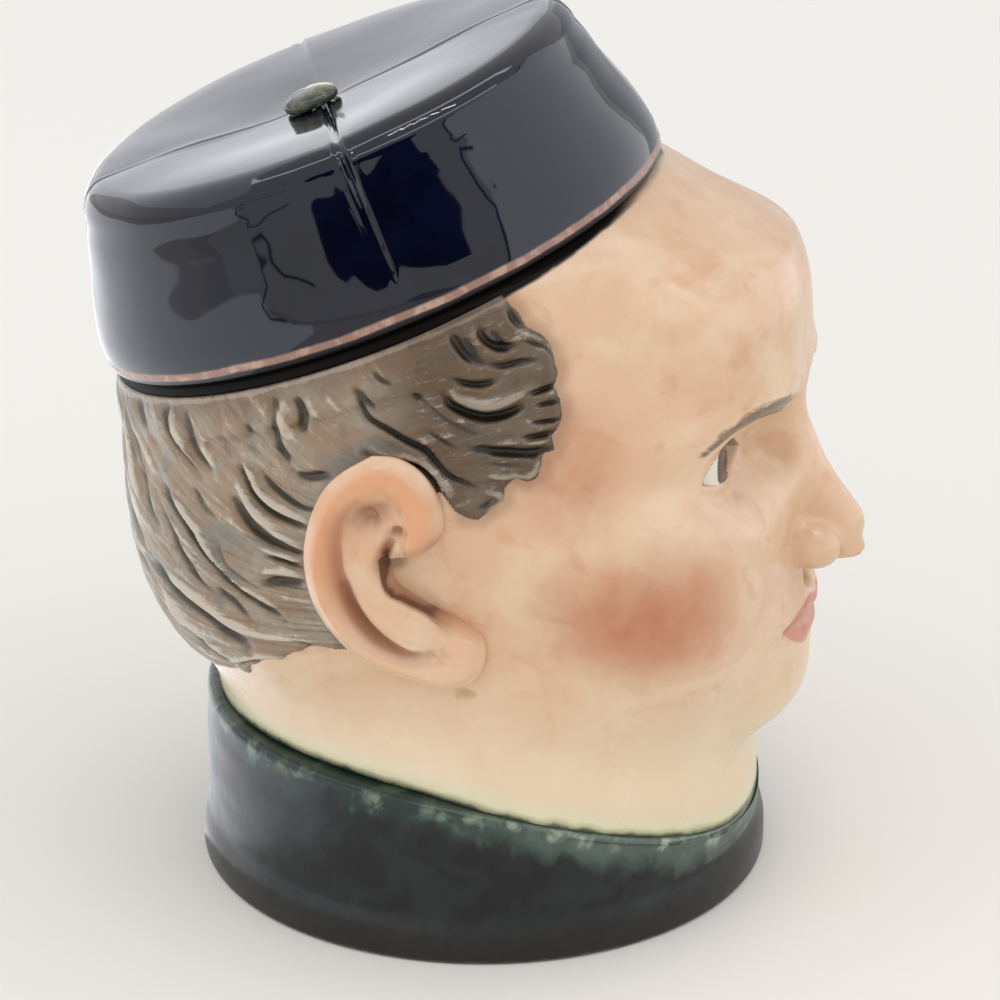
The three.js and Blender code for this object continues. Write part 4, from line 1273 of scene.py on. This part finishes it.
def capPiece():
    outer, crown, top = cap["radius"], cap["crownRadius"], cap["height"]
    rounding = cap["shoulder"]
    level = top - cap["dish"]
    side = [(outer + 0.1, 3), (outer + 0.1, 5), (outer - 0.3, 7.2), (outer - 0.9, 9.6), (outer - 1.6, 12),
            (outer - 2.6, 15), (outer - 3.6, 18), (outer - 4.5, 21), (outer - 5.4, 24)]
    middle = crown - rounding
    dish = [(middle * (1 - k / 9), top - cap["dish"] * (1 - math.cos(math.pi * k / 9)) / 2)
            for k in range(1, 9)]
    inner = outer - cap["wall"]
    under = [(6, level - cap["wall"]), (middle * 0.6, level - cap["wall"] + 0.7),
             *arc((middle, top - rounding), rounding - cap["wall"] + 1.2, 90, 0, 4),
             (inner - 2.4, 16), (inner, 7), (inner, 0.6), (inner + 0.4, 0)]
    profile = [(0, level), *reversed(dish), *arc((middle, top - rounding), rounding, 90, 0, 8),
               *reversed(side), (outer + 0.05, 1.5), (outer - 0.1, 0.7), (outer - 0.8, 0)]
    profile = [(0, level - cap["wall"]), *under, *reversed(profile)]
    bm = turned(profile, cap["steps"], [1.0] * (len(under) + 1))
    within = bm.verts.layers.float["inside"]
    for vert in bm.verts:
        if vert[within] > 0.5:
            continue
        x, y, z = vert.co
        radius = math.hypot(x, y)
        turn = math.atan2(x, y)  # from the back, towards the jar's left
        turn -= cap["crowding"] * math.sin(4 * (turn - seam))  # crowds the vertices at the four seams
        aside = abs(radius * math.sin(fromSeam(turn)))
        fade = min(max((z - 7) / 8, 0), 1)
        ridge = math.exp(-((aside - cap["ridgeAside"]) / cap["ridgeWidth"]) ** 2)
        groove = math.exp(-(aside / cap["grooveWidth"]) ** 2)
        swell = min(aside / 12, 1) ** 0.5 * min(radius / 30, 1)
        wave = noise.noise(Vector((x, y, z)) / 17) * 0.55 + noise.noise(Vector((x, y, z)) / 7) * 0.1
        flatness = min(max((crown - 1 - radius) / rounding, 0), 1) if z > top - rounding else 0
        beside = math.cos(turn - seam + math.pi / 2) > 0.7  # the seam on the jar's right is the boldest
        strength = cap["seamDepth"] * (1 - (0.35 if beside else 0.8) * flatness)
        strength *= 1 - 0.75 * (1 - flatness) * min(max((top - rounding - z) / 6, 0), 1)
        shift = fade * (strength * (0.6 * ridge - groove) + 0.35 * (swell - 1)) + wave * fade * 0.8
        radius += shift * (1 - flatness)
        vert.co = Vector((radius * math.sin(turn), radius * math.cos(turn), z + shift * flatness))
    leanBack(bm)
    bmesh.ops.recalc_face_normals(bm, faces=bm.faces)
    finished(bm, "capGlazed", capMaterial(), "lid", "cap_shell")


def buttonPiece():
    radius, height, flat = button["radius"], button["height"], button["flatness"]
    dome = [(radius * math.sin(math.radians(a)), height * (flat + (1 - flat) * math.cos(math.radians(a))))
            for a in (*range(0, 81, 8), 86)]
    profile = [*dome, (radius + 0.05, 0.9), (radius, 0.3), (radius - 0.3, 0), (0, 0)]
    bm = turned(profile, button["steps"])
    gilt = bm.verts.layers.float.new("gilt")
    groove = bm.verts.layers.float.new("groove")
    offset = Vector((button["aside"], button["back"], cap["height"] - cap["dish"] + 0.1))
    for vert in bm.verts:
        x, y, z = vert.co
        turn = math.atan2(x, y)
        cut = math.exp(-(math.hypot(x, y) * math.sin(fromSeam(turn)) / button["grooveWidth"]) ** 2)
        vert[groove] = cut * 0.4
        quarter = int(((turn - seam) % (2 * math.pi)) / (math.pi / 2))
        vert[gilt] = 1.0 if quarter == button["gilded"] else 0.0
        if z > 0.35:
            vert.co.z -= button["grooveDepth"] * cut
        vert.co += offset
    leanBack(bm)
    bmesh.ops.recalc_face_normals(bm, faces=bm.faces)
    finished(bm, "buttonGlazed", buttonMaterial(), "lid", "cap_button")


def flangePiece():
    outer = head["mouthRadius"] - flange["gap"]
    inner = outer - flange["width"]
    seat = cap["radius"] - cap["wall"] - flange["clearance"]
    drop, web = flange["drop"], flange["web"]
    profile = [(inner, web - 0.6), (inner, 0.6 - drop), *arc((inner + 0.6, 0.6 - drop), 0.6, 180, 270, 3),
               *arc((outer - 1, 1 - drop), 1, 270, 360, 4), (outer, -0.5), (outer + 0.4, 0), (seat - 0.5, 0),
               (seat, 0.5), (seat, web - 0.5), (seat - 0.5, web), (inner + 0.6, web), (inner, web - 0.6)]
    bm = turned(profile, flange["steps"])
    leanBack(bm)
    finished(bm, "flangeGlazed", bareMaterial(), "lid", "lid_flange")


# Stage

def lamp(name, azimuth, elevation, distance, size, power):
    light = bpy.data.lights.new(name, "AREA")
    light.shape = "RECTANGLE"
    light.size, light.size_y = size
    light.energy = power
    made = placed(name, light)
    made.location = Vector((0, 0, stage["lampHeight"])) + towards(azimuth, elevation) * distance
    made.rotation_euler = towards(azimuth, elevation).to_track_quat("Z", "Y").to_euler()
    made.visible_glossy = False


def paper(bm, name, colour):  # a matt sheet of the stage
    made = meshed(bm, name, glaze(newMaterial(name)[0], colour, 0.5, shine=0))
    return made


def cardPlace(azimuth, elevation):  # where a line from the lid meets the ring of cards, or the table
    distance = stage["cardDistance"]
    if elevation < 0:
        distance = min(distance, (stage["lidHeight"] - 2 * mm) / math.sin(math.radians(-elevation)))
    return Vector((0, 0, stage["lidHeight"])) + towards(azimuth, elevation) * distance


def card(name, outline, glow, width=0):
    # a paper shape of [azimuth, elevation] seen from the lid, or a band of some degrees along that line.
    # Only the glaze shows it
    bm = bmesh.new()
    places = [cardPlace(*spot) for spot in outline]
    if width:  # a band lies a little nearer than the shapes
        middle = Vector((0, 0, stage["lidHeight"]))
        places = [place.lerp(middle, 0.04) for place in places]
        sides = []
        for k, place in enumerate(places):
            along = places[min(k + 1, len(places) - 1)] - places[max(k - 1, 0)]
            away = place - middle
            across = along.cross(away).normalized() * math.radians(width / 2) * away.length
            sides.append([bm.verts.new(place + across), bm.verts.new(place - across)])
        for a, b in zip(sides, sides[1:]):
            bm.faces.new([a[0], b[0], b[1], a[1]])
    else:
        verts = [bm.verts.new(place) for place in places]
        for corners in tessellate_polygon([[Vector((*spot, 0)) for spot in outline]]):
            bm.faces.new([verts[corner] for corner in corners])
    made = paper(bm, name, (0, 0, 0, 1))
    shader = made.active_material.node_tree.nodes["Principled BSDF"]
    shader.inputs["Emission Color"].default_value = stage["cardTint"]
    shader.inputs["Emission Strength"].default_value = glow
    made.visible_camera = False
    made.visible_diffuse = False
    made.visible_shadow = False


def stageFloor():
    bm = bmesh.new()
    bmesh.ops.create_grid(bm, x_segments=1, y_segments=1, size=stage["floorSize"])
    paper(bm, "floor", tint(*stage["floorTint"]))


def stageWorld():
    # an even white tent, which the glaze reflects and the camera sees as pale paper
    world = bpy.data.worlds.new("tent")
    world.use_nodes = True
    bpy.context.scene.world = world
    tree = world.node_tree
    background = tree.nodes["Background"]
    background.inputs["Color"].default_value = (1, 1, 1, 1)
    background.inputs["Strength"].default_value = stage["world"]
    paint = Paint(tree, None)
    seen = Paint(tree, background.outputs[0])
    shown = ((3, (1, 1, 0.985, 1), stage["reflected"]), (0, tint(*stage["backTint"]), 1.0))
    for output, colour, strength in shown:  # to the glaze, then to the camera
        ray = paint.node("ShaderNodeLightPath", output=output)
        pale = paint.node("ShaderNodeBackground", None, {"Color": colour, "Strength": strength})
        seen = paint.node("ShaderNodeMixShader", None, {0: ray, 1: seen, 2: pale})
    tree.links.new(seen.socket, tree.nodes["World Output"].inputs["Surface"])


def stageCamera():
    data = bpy.data.cameras.new("photograph")
    data.sensor_width = stage["sensor"]
    data.lens = stage["focalPixels"] / stage["picture"] * stage["sensor"]
    camera = placed("photograph", data)
    aim = Vector(stage["aim"]) * mm
    back = towards(stage["azimuth"], stage["elevation"])
    camera.location = aim + back * stage["distance"] * mm
    right = Vector((0, 0, 1)).cross(back).normalized()
    up = back.cross(right)
    unit = stage["distance"] * mm / stage["focalPixels"]
    half = stage["picture"] / 2
    centre = (aim + right * (half - stage["aimPixel"][0]) * unit
              - up * (half - stage["aimPixel"][1]) * unit)
    camera.rotation_euler = (camera.location - centre).to_track_quat("Z", "Y").to_euler()
    bpy.context.scene.camera = camera


lamps = [  # name, azimuth, elevation, distance, size and power
    ("topSoftbox", 0, 80, 1.1, (1.4, 1.2), 0.9),
    ("backSoftbox", -150, 40, 1.3, (1.0, 1.0), 1.8),
    ("frontSoftbox", -10, 38, 1.3, (1.0, 1.0), 1.1),
    ("sideSoftbox", -95, 20, 1.3, (1.0, 1.0), 0.9),
]
cards = [  # name, outline, glow, and the width of a band
    ("darkDoor", [(-92, 31), (-75, 37), (-60, 41), (-46, 41), (-45, 37), (-48, 35), (-47, 31), (-45, 23),
                  (-56, 22), (-67, 24), (-76, 24), (-83, 17), (-86, 19), (-89, 22), (-92, 18), (-95, 19),
                  (-99, 24), (-97, 29)], 0.0),
    ("paleTable", [(95, -14), (146, -6), (170, -8), (186, -12), (197, -12), (206, -10), (214, -6), (222, -2),
                   (234, 2), (240, -3), (246, -3), (256, -5), (258, -12), (250, -18), (244, -26), (230, -55),
                   (120, -60), (95, -30)], 1.7),
    ("paleWall", [(-20, 44), (-26, 40), (-29, 34), (-28, 26), (-28, 18), (-26, 0), (-22, -6), (20, -6),
                  (60, -16), (66, 0), (60, 14), (56, 20), (50, 42), (28, 40), (10, 44)], 1.7),
    ("palePaper", [(100, -8), (132, -8), (136, 10), (150, 14), (185, 16), (215, 14), (222, 30), (200, 44),
                   (160, 44), (125, 34), (100, 18)], 1.5),
    ("greyWall", [(66, -14), (95, -16), (95, 16), (62, 16), (67, 4)], 0.7),
    ("tentFold", [(257, 12), (246, 10), (239, 11), (235, 8), (238, 5), (237, 2), (236, -1), (240, -4),
                  (246, -3)], 0.0, 0.8),
    ("tentSeam", [(37, 44), (27, 40), (13, 36), (-1, 36), (-14, 38), (-22, 41), (-28, 42), (-30, 39),
                  (-28, 37), (-29, 33), (-29, 26), (-28, 15), (-26, 0)], 0.0, 1.1),
    ("shadeLeft", [(211, -8), (214, -6), (223, -4), (237, -1), (238, -2), (228, -5), (219, -8),
                   (212, -10)], 0.6),
    ("shadeLow", [(-69, -1), (-63, 3), (-55, 1), (-46, -2), (-54, -3), (-62, -3)], 0.4),
    ("lightBar", [(170, 42), (195, 44), (210, 55), (225, 70), (250, 82), (330, 86), (400, 75), (412, 62),
                  (405, 54)], 5.0, 5),
    ("sillBar", [(-100, 46), (-80, 49), (-60, 51), (-40, 53), (-20, 53), (0, 51), (15, 47)], 4.0, 4),
    ("tubeLight", [(-80, 70), (-74, 75), (-66, 70), (-60, 76), (-52, 71), (-46, 76), (-38, 71), (-32, 75),
                   (-25, 69), (-18, 72), (-10, 64)], 40.0, 1.0),
]

stageCamera()
stageWorld()
stageFloor()
for values in lamps:
    lamp(*values)
for values in cards:
    card(*values)
bpy.context.scene.view_settings.view_transform = "Standard"
print("stage set")

earGlaze = earMaterial()
headPiece()
hairPiece()
print("head modelled")
earPiece(1, "earRightGlazed", "ear_right")
earPiece(-1, "earLeftGlazed", "ear_left")
print("ears modelled")
collarPiece()
capPiece()
buttonPiece()
flangePiece()
print("lid modelled")
